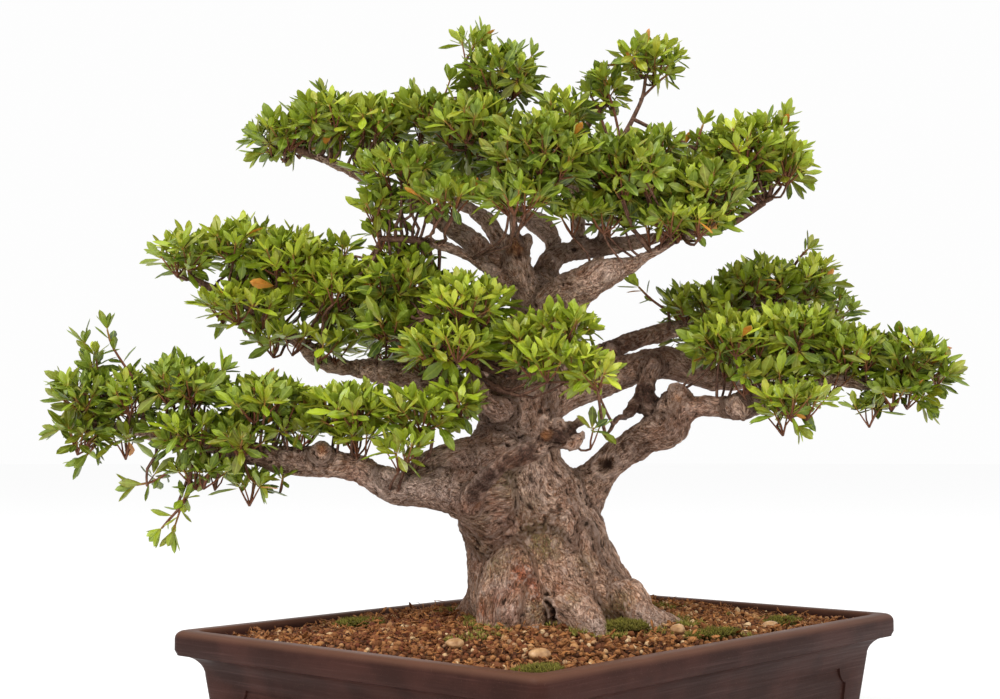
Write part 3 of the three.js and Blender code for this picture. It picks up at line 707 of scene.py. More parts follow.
# %% Marks on the wood
HOLES = [
    (42, 124, 8.5, 5.5), (-36, 144, 2.8, 2.0), (-5, 24, 2.6, 5.0), (-4, 18, 3.0, 6.0),
    (-3, 12, 3.4, 7.0), (-1, 6, 3.8, 8.0), (1, 0, 4.2, 8.0), (21, 305, 3.6, 3.0), (-34, 312, 4.0, 4.0),
]
KNOTS = [
    (105, 180, 8.0, 2.4), (98, 192, 7.0, 2.2), (64, 138, 9.0, 2.0), (-104, 112, 8.0, 2.2),
    (-78, 132, 10.0, 2.2), (130, 178, 8.0, 2.0), (170, 184, 8.0, 2.0), (-48, 66, 12.0, 2.5),
    (18, 92, 12.0, 2.5), (-24, 184, 9.0, 2.0), (8, 252, 8.0, 2.0), (-14, 222, 9.0, 1.6),
    (40, 70, 10.0, 2.2), (-56, 28, 10.0, 2.0), (-92, 122, 8.0, 2.0), (-215, 136, 8.0, 2.4),
    (-50, 124, 5.0, 2.0), (-24, 138, 5.0, 2.4), (74, 212, 7.0, 2.2), (48, 282, 7.0, 1.6),
    (-70, 316, 6.0, 2.0), (-51, 290, 6.0, 1.8), (6, 292, 6.0, 2.0), (-110, 202, 6.0, 1.8),
]
GNARLED = [
    (10, 152, 18, 3.2), (78, 182, 20, 2.4), (-28, 306, 14, 2.2), (-190, 134, 16, 1.8),
    (-215, 128, 20, 1.6), (-250, 140, 22, 1.6), (-20, 136, 14, 1.4), (98, 180, 16, 1.4),
    (48, 219, 9, 1.2),
]


def front_point(across, up):
    """The point of the skin that is seen there from the front."""
    close = np.hypot(places[:, 0] - across, places[:, 1] - up)
    near = np.flatnonzero(close < max(3.0, close.min() + 0.5))
    return skin[near[places[near, 2].argmin()]]


def grain_of(points):
    """Places counted across and along the wood, in centimetres, and the wood's radius."""
    near, _ = nearest_sample(points)
    offset = points - samples["centre"][near]
    across = (offset * samples["first"][near]).sum(axis=1)
    beside = (offset * samples["second"][near]).sum(axis=1)
    along = samples["along"][near] + (offset * samples["tangent"][near]).sum(axis=1)
    return np.stack([across, beside, along], 1) * 100, samples["radius"][near]


def gaps_to(across, up, size):
    """How far each point of the skin lies from a point seen on the front, in sizes."""
    return np.linalg.norm(skin - front_point(across, up), axis=1) / (size * MM)


skin = points_of(wood.data)
places = seen_at(skin)
print("marks:", len(HOLES) + len(KNOTS) + len(GNARLED))

# %% [markdown]
# The bark's relief is pushed in and out along the skin's normals. Ridges follow the grain,
# bent this way and that by a slower noise, wrinkles cross it, and lumps lie over both. A wound
# has a raised lip that grew round it, and at a broken end the noise is finer and stronger.
# A bump in the material alone would leave the outline smooth, so the points are really moved.

# %% Bark relief
grain, girth = grain_of(skin)
grain = spread(wood.data, grain, 6)
thickness = spread(wood.data, np.clip(girth / 0.03, 0.25, 1.3), 8)
swirl = np.stack([noise(skin * 30 + 5), noise(skin * 30 + 60), noise(skin * 30 + 90)], 1)
bent = grain + 0.9 * swirl
ridges = noise(bent * (0.9, 0.9, 0.22)) + 0.5 * noise(bent * (2.2, 2.2, 0.6) + 7)
creases = -np.abs(noise(bent * (1.3, 1.3, 0.5) + 3))
wrinkles = -np.abs(noise(bent * (3.0, 3.0, 1.6) + 31))
crossing = -np.abs(noise(bent * (0.9, 0.9, 2.2) + 17))
knuckles = noise(bent * (0.3, 0.3, 0.75) + 43)
lumps = noise(skin * 34) + 0.7 * noise(skin * 80 + 11) + 0.45 * noise(skin * 150 + 23)
relief = (
    0.7 * ridges * thickness + (1.5 * creases + 0.5) * thickness + (1.3 * wrinkles + 0.35)
    + (1.2 * crossing + 0.35) + 1.2 * knuckles + lumps * (0.9 + 1.0 * thickness))
rough = noise(skin * 130 + 70) + 0.8 * noise(skin * 240 + 50)
for across, up, size, amount in GNARLED:
    relief += amount * rough * np.exp(-gaps_to(across, up, size) ** 2)
# The holes' mask is kept for the painted shade inside them.
hole_shade_mask = np.zeros(len(skin))
for across, up, size, depth in HOLES:
    away_from = gaps_to(across, up, size) + 0.25 * noise(skin * 180 + 8)
    hole = np.clip(1 - away_from ** 2, 0, 1) ** 1.5
    lip = np.exp(-((away_from - 1.15) / 0.35) ** 2)
    relief += lip * 0.22 * depth - hole * depth
    hole_shade_mask = np.maximum(hole_shade_mask, hole)
for across, up, size, height in KNOTS:
    relief += height * np.exp(-gaps_to(across, up, size) ** 2)
skin = skin + normals_of(wood.data) * relief[:, None] * MM
wood.data.vertices.foreach_set("co", skin.astype(np.float32).ravel())
wood.data.update()
print("relief, mm:", relief.min().round(2), "to", relief.max().round(2))

# %% [markdown]
# The bark is painted dark in its hollows, as painted shade, and pale on its raised parts,
# partly as wear and partly as a painted highlight. How hollow each point lies is measured by
# comparing the skin with a much smoother copy of itself. Patches of moss, red young bark, pale
# root bark, dark weathered bark and bare cut wood, and the holes, which are painted dark as
# shade, are set by where they are seen, and kept on the mesh, next to the grain, for the
# finish to read. Painting them on an image would need a map of the skin, and attributes on
# the points need none.

# %% Hollows and patches
MOSSY = [
    (-9, 66, 18, 1.0), (-35, 115, 14, 0.8), (-48, 50, 14, 0.8), (27, 51, 10, 0.5), (54, 12, 11, 1.0),
    (-58, 76, 12, 0.5), (-10, 8, 9, 0.7), (48, 4, 12, 0.8), (-60, 60, 12, 0.5), (-22, 92, 12, 0.4),
    (14, 20, 8, 0.5),
]
REDDISH = [
    (-56, 70, 16, 0.35), (-64, 50, 12, 0.35), (-40, 84, 14, 0.3), (-70, 88, 12, 0.35),
    (24, 62, 14, 0.2), (-23, 42, 9, 1.0), (-15, 32, 6, 1.0), (-11, 22, 5, 0.8), (-46, 20, 9, 0.7),
    (-30, 28, 7, 0.6), (8, 30, 7, 0.4), (-60, 8, 9, 0.5), (-72, 126, 16, 0.3), (-30, 6, 8, 0.5),
    (-50, 4, 8, 0.5),
]
PALE = [
    (36, -4, 14, 1.0), (78, 2, 16, 0.8), (-36, 8, 12, 0.6), (-44, 30, 10, 0.5), (98, -6, 12, 0.8),
    (-34, 160, 22, 0.6), (-74, 112, 20, 0.5), (-96, 106, 14, 0.6), (20, 10, 12, 0.5),
    (-20, 196, 14, 0.4), (-62, 136, 18, 0.7), (45, 281, 18, 0.6), (84, 185, 10, 0.5),
    (-86, 108, 18, 1.0), (-112, 108, 18, 1.0), (-62, 118, 20, 0.8), (-134, 110, 16, 0.9),
    (-88, 124, 16, 0.6), (-10, 124, 14, 0.4), (-52, 78, 16, 0.4),
]
WEATHERED = [
    (-63, 100, 9, 1.0), (-58, 106, 9, 1.0), (-50, 118, 9, 1.0), (-38, 129, 9, 1.0), (-24, 135, 10, 1.0),
    (-55, 113, 9, 1.0), (-44, 124, 10, 1.0), (-31, 132, 10, 1.0), (-17, 137, 11, 1.0),
    (-4, 145, 12, 1.0), (8, 152, 13, 1.0), (22, 156, 12, 1.0),
    (72, 146, 16, 0.55), (98, 160, 18, 0.5), (128, 174, 16, 0.45), (160, 175, 18, 0.45),
    (190, 186, 18, 0.45), (50, 132, 14, 0.3), (78, 186, 20, 1.0), (70, 170, 12, 1.0),
    (-28, 304, 14, 0.8), (-215, 128, 18, 0.6), (-250, 136, 20, 0.7), (-60, 96, 9, 0.6),
    (60, 232, 20, 0.6), (90, 212, 24, 0.5), (16, 300, 18, 0.5), (46, 305, 18, 0.6),
]
BARE = [
    (-3, 154, 4.5, 1.0), (104, 182, 3.5, 0.8), (48, 219, 4, 1.0), (-189, 138, 5, 1.0),
    (24, 143, 4, 0.5), (-29, 310, 9, 0.8), (-59, 92, 4, 0.4),
]


def patches(spots):
    """How strongly each point of the skin belongs to some spots: across, up, size, strength."""
    value = np.zeros(len(skin))
    ragged = noise(skin * 130) + 0.6 * noise(skin * 320 + 9)
    for across, up, size, strength in spots:
        inside = np.clip(1.35 - gaps_to(across, up, size) + 0.45 * ragged, 0, 1)
        value = np.maximum(value, strength * inside)
    return value


places = seen_at(skin)
normals = normals_of(wood.data)
fine = ((spread(wood.data, skin, 4) - skin) * normals).sum(axis=1) / MM
broad = ((spread(wood.data, skin, 24) - skin) * normals).sum(axis=1) / MM
broad = broad - spread(wood.data, broad, 60)
give(wood.data, "hollow", np.clip(1.0 * fine + 0.3 * broad, -1, 1))
give(wood.data, "grain", bent)
give(wood.data, "patch", np.stack([patches(MOSSY), patches(REDDISH), patches(PALE)], 1))
give(wood.data, "mark", np.stack([patches(BARE), hole_shade_mask, patches(WEATHERED)], 1))
wood.data.shade_smooth()
print("hollows, mm:", fine.std().round(3), broad.std().round(3))

# %% [markdown]
# Satsuki bark is thin and grey-brown, with a pinkish cast, pale flakes and fine dark cracks
# that curl over the wood. A cell pattern would give cracks like dried mud, with corners. The
# ones here are drawn where a noise, in the grain's own coordinates, crosses its middle value:
# that gives long curly lines. The same values feed the bump, so colour and relief agree.

# %% The bark finish
bark = Finish("satsuki bark", Specular_IOR_Level=0.22)
grain_place = bark.attribute("grain")
object_place = bark.place()


def cracks(scales, curl, width):
    """Thin curly lines in the grain's coordinates: 1 on a line and 0 away from it."""
    value = bark.noise(bark.stretch(grain_place, scales), 1.0, 3, 0.55, curl)
    return bark.step(bark.math("ABSOLUTE", value - 0.5), 0.0, width, 1, 0)


wrinkle = bark.noise(bark.stretch(grain_place, (4.5, 4.5, 1.5)), 1.0, 6, 0.66, 1.0)
curl = bark.noise(object_place, 240, 4, 0.62, 2.6)
fleck = bark.noise(bark.stretch(grain_place, (9, 9, 6)), 1.0, 3, 0.6, 0.8)
patch = bark.noise(object_place, 55, 4, 0.62, 0.8)
wide = bark.noise(object_place, 16, 3, 0.55)
long_crack = cracks((2.0, 2.0, 0.7), 1.2, 0.04)
short_crack = cracks((4.4, 4.4, 1.8), 1.6, 0.06)
hollow = bark.attribute("hollow", "Fac")
mossy, reddish, pale = bark.parts(bark.attribute("patch"))
bare, hole, weathered = bark.parts(bark.attribute("mark"))
height_up = bark.parts(object_place)[2]
curl_tone = bark.step(curl, 0.38, 0.62)
colour = bark.blend(bark.step(wrinkle, 0.40, 0.60), linear(142, 99, 70), linear(238, 198, 170))
colour = bark.blend(bark.step(curl, 0.46, 0.66, 0, 0.4), colour, linear(222, 192, 174))
colour = bark.blend(bark.step(curl, 0.44, 0.30, 0, 0.35), colour, linear(104, 68, 46))
colour = bark.blend(bark.step(patch, 0.50, 0.64, 0, 0.45), colour, linear(198, 166, 148))
colour = bark.blend(bark.step(patch, 0.46, 0.34, 0, 0.5), colour, linear(116, 86, 66))
colour = bark.blend(bark.step(wide, 0.46, 0.62, 0, 0.4), colour, linear(176, 120, 92))
colour = bark.blend(bark.step(height_up, 0.22, 0.14, 0, 0.35), colour, linear(168, 112, 70))
reddish_tint = bark.blend(curl_tone, linear(112, 48, 26), linear(190, 106, 68))
colour = bark.blend(reddish * 0.85, colour, reddish_tint)
pale_tint = bark.blend(curl_tone, linear(156, 124, 106), linear(236, 208, 192))
colour = bark.blend(pale * 0.7, colour, pale_tint)
weathered_tint = bark.blend(curl_tone, linear(30, 18, 12), linear(92, 60, 46))
colour = bark.blend(weathered * 0.92, colour, weathered_tint)
moss_tint = bark.blend(curl_tone, linear(84, 72, 22), linear(140, 132, 58))
colour = bark.blend(mossy * bark.step(wrinkle, 0.42, 0.56, 0.15, 0.75), colour, moss_tint)
pale_fleck = bark.step(fleck, 0.60, 0.70, 0, 0.5) * (1 - weathered)
colour = bark.blend(pale_fleck, colour, linear(226, 200, 182))
colour = bark.blend(bark.step(fleck, 0.38, 0.30, 0, 0.3), colour, linear(70, 44, 30))
colour = bark.blend(short_crack * 0.45, colour, linear(84, 52, 36))
colour = bark.blend(long_crack * 0.6, colour, linear(66, 40, 27))
# Painted shade: the bark is darkened in its hollows.
colour = bark.blend(bark.step(hollow, 0.14, 0.9, 0, 0.88), colour, linear(46, 26, 14))
# Raised parts are painted paler, partly as wear and partly as a painted highlight.
raised_wear_and_highlight = bark.step(hollow, -0.1, -0.8, 0, 0.5) * (1 - weathered)
colour = bark.blend(raised_wear_and_highlight, colour, linear(226, 196, 178))
bare_tone = bark.blend(bark.step(wrinkle, 0.4, 0.6), linear(124, 66, 34), linear(204, 140, 86))
colour = bark.blend(bare * 0.9, colour, bare_tone)
# Painted shade: the insides of the holes are darkened.
colour = bark.blend(bark.step(hole, 0.12, 0.7, 0, 0.8), colour, linear(58, 36, 24))
height = wrinkle * 0.55 + curl * 0.28 + fleck * 0.2 - long_crack * 0.35 - short_crack * 0.2
wood.data.materials.clear()
wood.data.materials.append(bark.wear(
    Base_Color=colour,
    Roughness=bark.step(wrinkle, 0.3, 0.7, 0.88, 0.62),
    Normal=bark.bump(height, 3.4 * MM, 1.0),
))
settle(wood, "bark", "trunk_and_branches")

# %% [markdown]
# ## Leaves
# One leaf is modelled and then repeated. A flat card with a picture of a leaf is the quick
# way, but it has no thickness and no fold, and this leaf has to be a closed shape of few
# faces. It starts as a sphere of four segments: its poles become the stalk end and the tip,
# and its four sides the left edge, the midrib, the right edge and the underside. Each ring is
# scaled to the width of the blade there, and the midrib is pressed down, so that the blade
# folds along it.

# %% One leaf
LEAF_ROWS = ((0.28, 0.56), (0.61, 1.0), (0.86, 0.62))
MIDRIB_DIP = 0.10
FLATNESS = 0.05
begin(bpy.ops.mesh.primitive_uv_sphere_add, segments=4, ring_count=4, radius=0.5,
      location=(0, 0.5, 0), rotation=(-math.pi / 2, 0, 0))
bpy.ops.mesh.select_all(action="SELECT")
bpy.ops.transform.resize(value=(1, 1, FLATNESS), center_override=(0, 0, 0))
rings = sorted({round(v.co.y, 4) for v in shape_now().verts})[1:-1]
for ring, (place, width) in zip(reversed(rings), reversed(LEAF_ROWS)):
    pick("VERT", lambda v: abs(v.co.y - ring) < 1e-3)
    now = max(abs(v.co.x) for v in shape_now().verts if v.select)
    bpy.ops.transform.resize(value=(0.5 * width / now, 1, 1), center_override=(0, ring, 0))
    bpy.ops.transform.translate(value=(0, place - ring, 0))
pick("VERT", lambda v: abs(v.co.x) < 1e-3 and 0.02 < v.co.y < 0.98)
bpy.ops.transform.translate(value=(0, 0, -MIDRIB_DIP))
leaf_points, leaf_faces = pattern_of(end())
on_midrib = (np.abs(leaf_points[:, 0]) < 1e-3) & (np.abs(leaf_points[:, 1] - 0.5) < 0.48)
upper_side = on_midrib * np.sign(leaf_points[:, 2] + MIDRIB_DIP)
leaf_blade = np.stack([2 * leaf_points[:, 0], leaf_points[:, 1], upper_side], 1)
print("one leaf has", len(leaf_faces), "triangles")

# %% [markdown]
# An azalea carries its leaves in flat pads, one to a branch. A pad is listed as lumps: each
# has its middle, across, up and away as the wood has, and its half width, height and depth.
# Before the lumps stands the tone of the mass, from deep green at 0 to yellow-green at 1.
# It is partly the leaves' own colour and partly painted light and shade: a mass that lies in
# shade, such as the front of the crown, gets a low tone.

# %% The leaf masses
FOLIAGE = {
    "foliage_crown_left": (0.45, [
        (-220, 396, 10, 38, 20, 42), (-183, 408, 8, 38, 26, 52), (-146, 404, 6, 36, 28, 56)]),
    "foliage_crown_lower_left": (0.35, [
        (-122, 366, -48, 46, 24, 44), (-142, 338, -40, 22, 20, 34), (-88, 346, -66, 34, 20, 40),
        (-140, 318, -34, 18, 14, 24)]),
    "foliage_crown_top_left": (0.4, [
        (-66, 403, -12, 42, 32, 60), (-42, 446, -10, 36, 28, 44), (-68, 474, -10, 16, 15, 20),
        (-104, 414, 0, 28, 20, 48), (-84, 444, -10, 10, 12, 12)]),
    "foliage_crown_front": (0.3, [
        (-10, 378, -62, 52, 38, 50), (-28, 346, -78, 34, 20, 40), (10, 416, -40, 28, 22, 34)]),
    "foliage_crown_middle_right": (0.35, [
        (60, 364, -40, 46, 34, 50), (88, 390, -14, 24, 16, 30), (34, 331, -44, 40, 12, 34),
        (84, 322, -36, 30, 11, 28)]),
    "foliage_top_spray": (0.45, [(46, 436, 18, 18, 24, 24)]),
    "foliage_crown_right": (0.4, [(122, 348, -22, 48, 30, 56), (108, 326, -50, 42, 17, 40)]),
    "foliage_crown_far_right": (0.55, [
        (158, 382, 6, 38, 32, 52), (192, 374, 4, 25, 26, 40), (182, 402, 6, 20, 16, 26)]),
    "foliage_top_sprig": (0.6, [(82, 462, 4, 32, 20, 30)]),
    "foliage_crown_back": (0.3, [
        (36, 366, 130, 66, 40, 58), (-60, 380, 112, 54, 36, 52), (110, 366, 104, 44, 34, 46)]),
    "foliage_upper_left_tip": (0.5, [(-298, 298, 5, 32, 23, 38), (-256, 304, 5, 34, 26, 46)]),
    "foliage_upper_left": (0.6, [
        (-214, 288, 4, 41, 33, 56), (-178, 268, 0, 34, 34, 58), (-252, 254, -8, 42, 22, 40),
        (-176, 303, -4, 28, 12, 24), (-220, 230, -6, 34, 14, 30), (-180, 224, -8, 28, 14, 28)]),
    "foliage_upper_left_inner": (0.45, [
        (-124, 274, -8, 42, 28, 58), (-130, 240, -18, 34, 24, 46), (-119, 299, -20, 28, 10, 24),
        (-104, 214, -32, 28, 14, 28)]),
    "foliage_centre_left": (0.6, [(-68, 258, -62, 40, 26, 46), (-84, 222, -66, 42, 25, 44)]),
    "foliage_low_left_tip": (0.25, [
        (-380, 182, -46, 30, 26, 36), (-374, 208, -46, 14, 22, 20), (-382, 154, -46, 26, 20, 28),
        (-344, 180, -46, 28, 24, 40), (-350, 148, -46, 24, 13, 24)]),
    "foliage_low_left_outer": (0.28, [
        (-300, 190, -46, 38, 24, 50), (-290, 152, -50, 46, 22, 44), (-284, 122, -54, 34, 15, 32),
        (-326, 120, -48, 16, 12, 14), (-246, 110, -54, 22, 9, 20)]),
    "foliage_low_left_middle": (0.26, [
        (-232, 177, -50, 42, 24, 54), (-252, 148, -66, 30, 18, 32), (-218, 118, -60, 14, 7, 12),
        (-204, 154, -62, 26, 13, 30)]),
    "foliage_low_left_inner": (0.52, [
        (-166, 170, -62, 42, 24, 50), (-108, 168, -76, 42, 24, 40), (-122, 140, -102, 26, 17, 24),
        (-76, 178, -72, 26, 23, 34), (-158, 150, -68, 24, 11, 26)]),
    "foliage_low_left_shoot": (0.5, [(-298, 102, -60, 10, 8, 10)]),
    "foliage_centre_front": (0.62, [
        (12, 239, -70, 32, 20, 34), (4, 211, -92, 44, 19, 32), (34, 200, -100, 26, 17, 26),
        (-18, 230, -66, 28, 24, 34)]),
    "foliage_centre_tuft": (0.4, [(39, 156, -86, 20, 11, 16)]),
    "foliage_right_upper": (0.5, [
        (124, 255, 44, 40, 20, 44), (172, 274, 46, 40, 23, 44), (212, 277, 44, 24, 22, 36)]),
    "foliage_right_middle": (0.5, [
        (146, 226, -22, 40, 26, 50), (196, 230, -18, 42, 30, 54), (176, 199, -30, 40, 10, 34)]),
    "foliage_right_outer": (0.32, [
        (244, 218, -24, 38, 24, 50), (288, 212, -32, 34, 27, 44), (310, 202, -36, 24, 21, 32),
        (284, 186, -38, 32, 14, 34), (260, 174, -40, 24, 8, 20), (228, 199, -30, 30, 10, 30)]),
    "foliage_right_low": (0.5, [(200, 180, -62, 34, 15, 36), (188, 168, -60, 24, 8, 22)]),
    "foliage_right_back": (0.3, [(196, 250, 140, 62, 34, 52), (130, 232, 110, 40, 26, 40)]),
    "foliage_back_low": (0.3, [
        (-84, 226, 216, 62, 34, 50), (-30, 214, 180, 46, 28, 44), (-130, 236, 176, 44, 28, 44)]),
}
lump_rows = [(name, tone, entry) for name, (tone, entries) in FOLIAGE.items() for entry in entries]
lump_centres = np.array([seen(*entry[:3]) for _, _, entry in lump_rows])
lump_halves = np.array([
    [entry[3] * depth_scale(entry[2]), entry[5], entry[4] * depth_scale(entry[2])]
    for _, _, entry in lump_rows]) * MM
LUMP_AXES = np.stack([RIGHT, AWAY, UP])
print("lumps:", len(lump_rows))

# %% [markdown]
# The shoots stand around the outside of a lump, more of them above than below, and each will
# carry a whorl of leaves. They end inside the lump's skin, so that the leaf tips come out at
# it. No two whorls are closer than about half a leaf, and none stands inside the wood or deep
# inside another lump. The masses at the back have fewer. A particle system would scatter them
# too, but its copies share one mesh, and they could not keep clear of one another.

# %% Where the shoots stand
WHORL_GAP = 11.0 * MM
BACK_WHORL_GAP = 14.0 * MM
LEAF_REACH = 9 * MM
TRIED_SHOOTS = 1500
LOWEST_WAY = -0.25
SHARE_BELOW = 0.3
OTHER_LUMP_SKIN = 0.85


def depth_in(points, index):
    """How far out in a lump points lie: 0 at its middle and 1 on its skin."""
    local = (points - lump_centres[index]) @ LUMP_AXES.T / lump_halves[index]
    return np.linalg.norm(local, axis=1)


def gap_to_wood(points):
    near, _ = nearest_sample(points)
    return np.linalg.norm(points - samples["centre"][near], axis=1) - samples["radius"][near]


def shoots_of(index):
    """Ends and directions of one lump's shoots."""
    whorl_gap = BACK_WHORL_GAP if "back" in lump_rows[index][0] else WHORL_GAP
    half = np.maximum(lump_halves[index] - LEAF_REACH, 3 * MM)
    ways = unit(rng.normal(size=(TRIED_SHOOTS, 3)))
    ways = ways[(ways[:, 2] > LOWEST_WAY) | (rng.random(TRIED_SHOOTS) < SHARE_BELOW)]
    depth = 1 - 0.5 * rng.random(len(ways)) ** 1.6
    places = lump_centres[index] + (ways * half * depth[:, None]) @ LUMP_AXES
    outward = unit((ways / half) @ LUMP_AXES)
    for other in range(index):
        clear = depth_in(places, other) > OTHER_LUMP_SKIN
        places, outward = places[clear], outward[clear]
    clear = gap_to_wood(places) > 3 * MM
    places, outward = places[clear], outward[clear]
    chosen = np.empty(0, int)
    for i, place in enumerate(places):
        if (np.linalg.norm(places[chosen] - place, axis=1) > whorl_gap).all():
            chosen = np.append(chosen, i)
    lean = unit(0.65 * outward[chosen] + 0.75 * UP + 0.28 * rng.normal(size=(len(chosen), 3)))
    return places[chosen], lean


shoots = [shoots_of(index) for index in range(len(lump_rows))]
print("shoots:", sum(len(places) for places, _ in shoots))

# %% [markdown]
# Every leaf is a copy of the pattern, laid along its own direction with its upper face
# towards the light, and its tip bent down a little. Each keeps where on the blade a point
# lies, its tone, and a number of its own, for the finish to read.

# %% Copies of the leaf
OLD_LEAF = 22
LEAF_WIDTH = (0.34, 0.43)
TIP_BEND = (0.14, 0.09)
TURNED_SHARE = 0.008


def leaves_at(base, axis, radial, tilt, length, tones):
    """Leaves that grow from base and lean from an axis towards radial, with their attributes."""
    tilt = tilt[:, None]
    along = axis * np.cos(tilt) + radial * np.sin(tilt)
    upper = axis * np.sin(tilt) - radial * np.cos(tilt)
    upper = unit(upper + 0.35 * UP + 0.15 * rng.normal(size=upper.shape))
    upper = unit(upper - (upper * along).sum(axis=1)[:, None] * along)
    across = np.cross(along, upper)
    width = length * rng.uniform(*LEAF_WIDTH, len(base))
    bend = rng.normal(*TIP_BEND, len(base)) * np.clip(length / (OLD_LEAF * MM), 0.3, 1)
    x, y, z = leaf_points.T[:, None]
    height = z * width[:, None] - (bend * length)[:, None] * y ** 2
    points = (
        base[:, None]
        + along[:, None] * (y * length[:, None])[..., None]
        + across[:, None] * (x * width[:, None])[..., None]
        + upper[:, None] * height[..., None])
    faces = leaf_faces[None] + (np.arange(len(base)) * len(leaf_points))[:, None, None]
    blade = np.broadcast_to(leaf_blade[None], points.shape)
    chance = rng.random(len(base))
    turned = rng.random(len(base)) < TURNED_SHARE
    tint = np.stack([np.clip(tones, 0, 1), chance, turned.astype(float)], 1)
    tint = np.repeat(tint, len(leaf_points), axis=0)
    return points.reshape(-1, 3), faces.reshape(-1, 3), blade.reshape(-1, 3), tint


# %% [markdown]
# A whorl of five to nine leaves sits at the end of each shoot. They turn by the golden angle
# from one to the next, as on the real plant: the young ones in the middle are short and stand
# up, and the old ones at the outside are long and spread. Equal turns would look like a fan.

# %% Whorls of leaves
GOLDEN_ANGLE = math.radians(137.5)
YOUNG_LEAF = 9
LEAVES_IN_WHORL = (5, 10)
FULL_TURN = 6.28


def whorls_on(places, ways, tone):
    """The whorls of leaves on some shoots."""
    counts = rng.integers(*LEAVES_IN_WHORL, len(places))
    whorl = np.repeat(np.arange(len(places)), counts)
    turn_in = np.concatenate([np.arange(c) for c in counts])
    age = (turn_in + 0.5) / counts[whorl]
    axis = ways[whorl]
    start = unit(np.cross(ways, UP + 0.01))[whorl]
    first_turn = rng.random(len(places))[whorl] * FULL_TURN
    turn = turn_in * GOLDEN_ANGLE + first_turn + rng.normal(0, 0.15, len(age))
    radial = start * np.cos(turn)[:, None] + np.cross(axis, start) * np.sin(turn)[:, None]
    tilt = np.radians(14 + 54 * age + rng.normal(0, 10, len(age)))
    size = rng.uniform(0.8, 1.12, len(places))[whorl] * rng.uniform(0.85, 1.1, len(age))
    length = (YOUNG_LEAF + (OLD_LEAF - YOUNG_LEAF) * np.sqrt(age)) * size * MM
    base = places[whorl] + 1.0 * MM * (radial - axis * age[:, None] * 3)
    # Painted light: a shoot that points up gets a lighter tone, as if lit from above.
    shoot_tone = tone + 0.3 * (ways[:, 2] - 0.6) + rng.normal(0, 0.16, len(places))
    tones = shoot_tone[whorl] + rng.normal(0, 0.10, len(age)) + 0.3 * (0.5 - age)
    return leaves_at(base, axis, radial, tilt, length, tones)


# %% [markdown]
# A few long shoots stand out of the masses, and break up the outline. Their leaves sit one by
# one along the stem, and close up towards its tip. A shoot is given by the waypoints of its
# stem, across, up and away, because each one is seen by itself against the sky.

# %% Long shoots
LONG_SHOOTS = {
    "foliage_low_left_tip": [
        [(-328, 179, -46), (-347, 204, -46), (-360, 224, -47), (-364, 237, -48)],
        [(-352, 162, -46), (-372, 192, -48), (-378, 213, -50), (-382, 225, -52)],
        [(-352, 160, -46), (-370, 144, -44), (-381, 132, -42)],
        [(-360, 170, -46), (-384, 186, -46), (-397, 193, -46)],
        [(-362, 160, -46), (-386, 156, -40), (-401, 155, -38)],
    ],
    "foliage_low_left_outer": [
        [(-300, 130, -52), (-322, 114, -50), (-338, 110, -48)],
        [(-250, 128, -56), (-246, 116, -58), (-238, 110, -58)],
        [(-290, 170, -56), (-278, 192, -54), (-270, 202, -52)],
        [(-330, 176, -44), (-322, 196, -44), (-312, 205, -44)],
    ],
    "foliage_low_left_shoot": [
        [(-292, 128, -56), (-296, 108, -58), (-302, 90, -60), (-307, 74, -62)],
        [(-302, 92, -60), (-311, 82, -60), (-317, 75, -60)],
    ],
    "foliage_crown_left": [
        [(-190, 400, 6), (-206, 392, 4), (-224, 388, 2), (-239, 383, 0)],
        [(-180, 410, 4), (-185, 422, 4), (-188, 432, 4)],
    ],
    "foliage_crown_top_left": [
        [(-64, 462, -10), (-61, 472, -12), (-57, 479, -12)],
        [(-30, 440, -10), (-20, 456, -10), (-16, 464, -10)],
        [(-104, 420, 0), (-110, 428, 0), (-114, 434, 0)],
    ],
    "foliage_top_sprig": [
        [(58, 392, 4), (52, 420, 4), (47, 436, 2), (44, 444, 0)],
        [(74, 428, 4), (88, 442, 4), (97, 449, 4)],
    ],
    "foliage_top_spray": [[(46, 400, 10), (39, 420, 12), (33, 432, 12)]],
    "foliage_crown_far_right": [
        [(120, 386, 4), (123, 398, 4), (126, 407, 4)],
        [(186, 396, 4), (189, 406, 4), (193, 413, 4)],
    ],
    "foliage_right_outer": [
        [(290, 200, -36), (310, 198, -38), (322, 200, -40)],
        [(286, 190, -38), (298, 179, -40), (306, 173, -42)],
    ],
    "foliage_right_upper": [
        [(200, 290, 44), (206, 298, 44), (211, 303, 44)],
        [(96, 252, 36), (82, 262, 32), (72, 272, 30)],
    ],
    "foliage_right_low": [[(180, 176, -60), (192, 166, -62), (201, 158, -62)]],
}


STEM_RADIUS = 1.3 * MM
STEM_STEP = 6 * MM
LEAF_PITCH = 4.5 * MM


def stem_of(route):
    knots = np.array([
        [*seen(*place), STEM_RADIUS * (1 - 0.15 * i)] for i, place in enumerate(route)])
    return strand_along(curve_through(knots, STEM_STEP))


def leaves_along(stem, tone):
    """Leaves along the outer part of a stem."""
    length = stem["along"][-1]
    stations = np.concatenate([
        np.arange(0.35 * length, length - 7 * MM, LEAF_PITCH), length - rng.uniform(0, 4, 6) * MM])
    at = np.clip(np.searchsorted(stem["along"], stations), 0, len(stem["along"]) - 1)
    turn = np.arange(len(at)) * GOLDEN_ANGLE + rng.random() * FULL_TURN
    radial = stem["first"][at] * np.cos(turn)[:, None] + stem["second"][at] * np.sin(turn)[:, None]
    to_tip = (length - stations) / length
    tilt = np.radians(24 + 34 * np.clip(to_tip * 3, 0, 1) + rng.normal(0, 9, len(at)))
    leaf_length = rng.uniform(12, 20, len(at)) * MM
    tones = tone + rng.normal(0, 0.14, len(at)) - 0.2 * to_tip
    return leaves_at(stem["centre"][at], stem["tangent"][at], radial, tilt, leaf_length, tones)


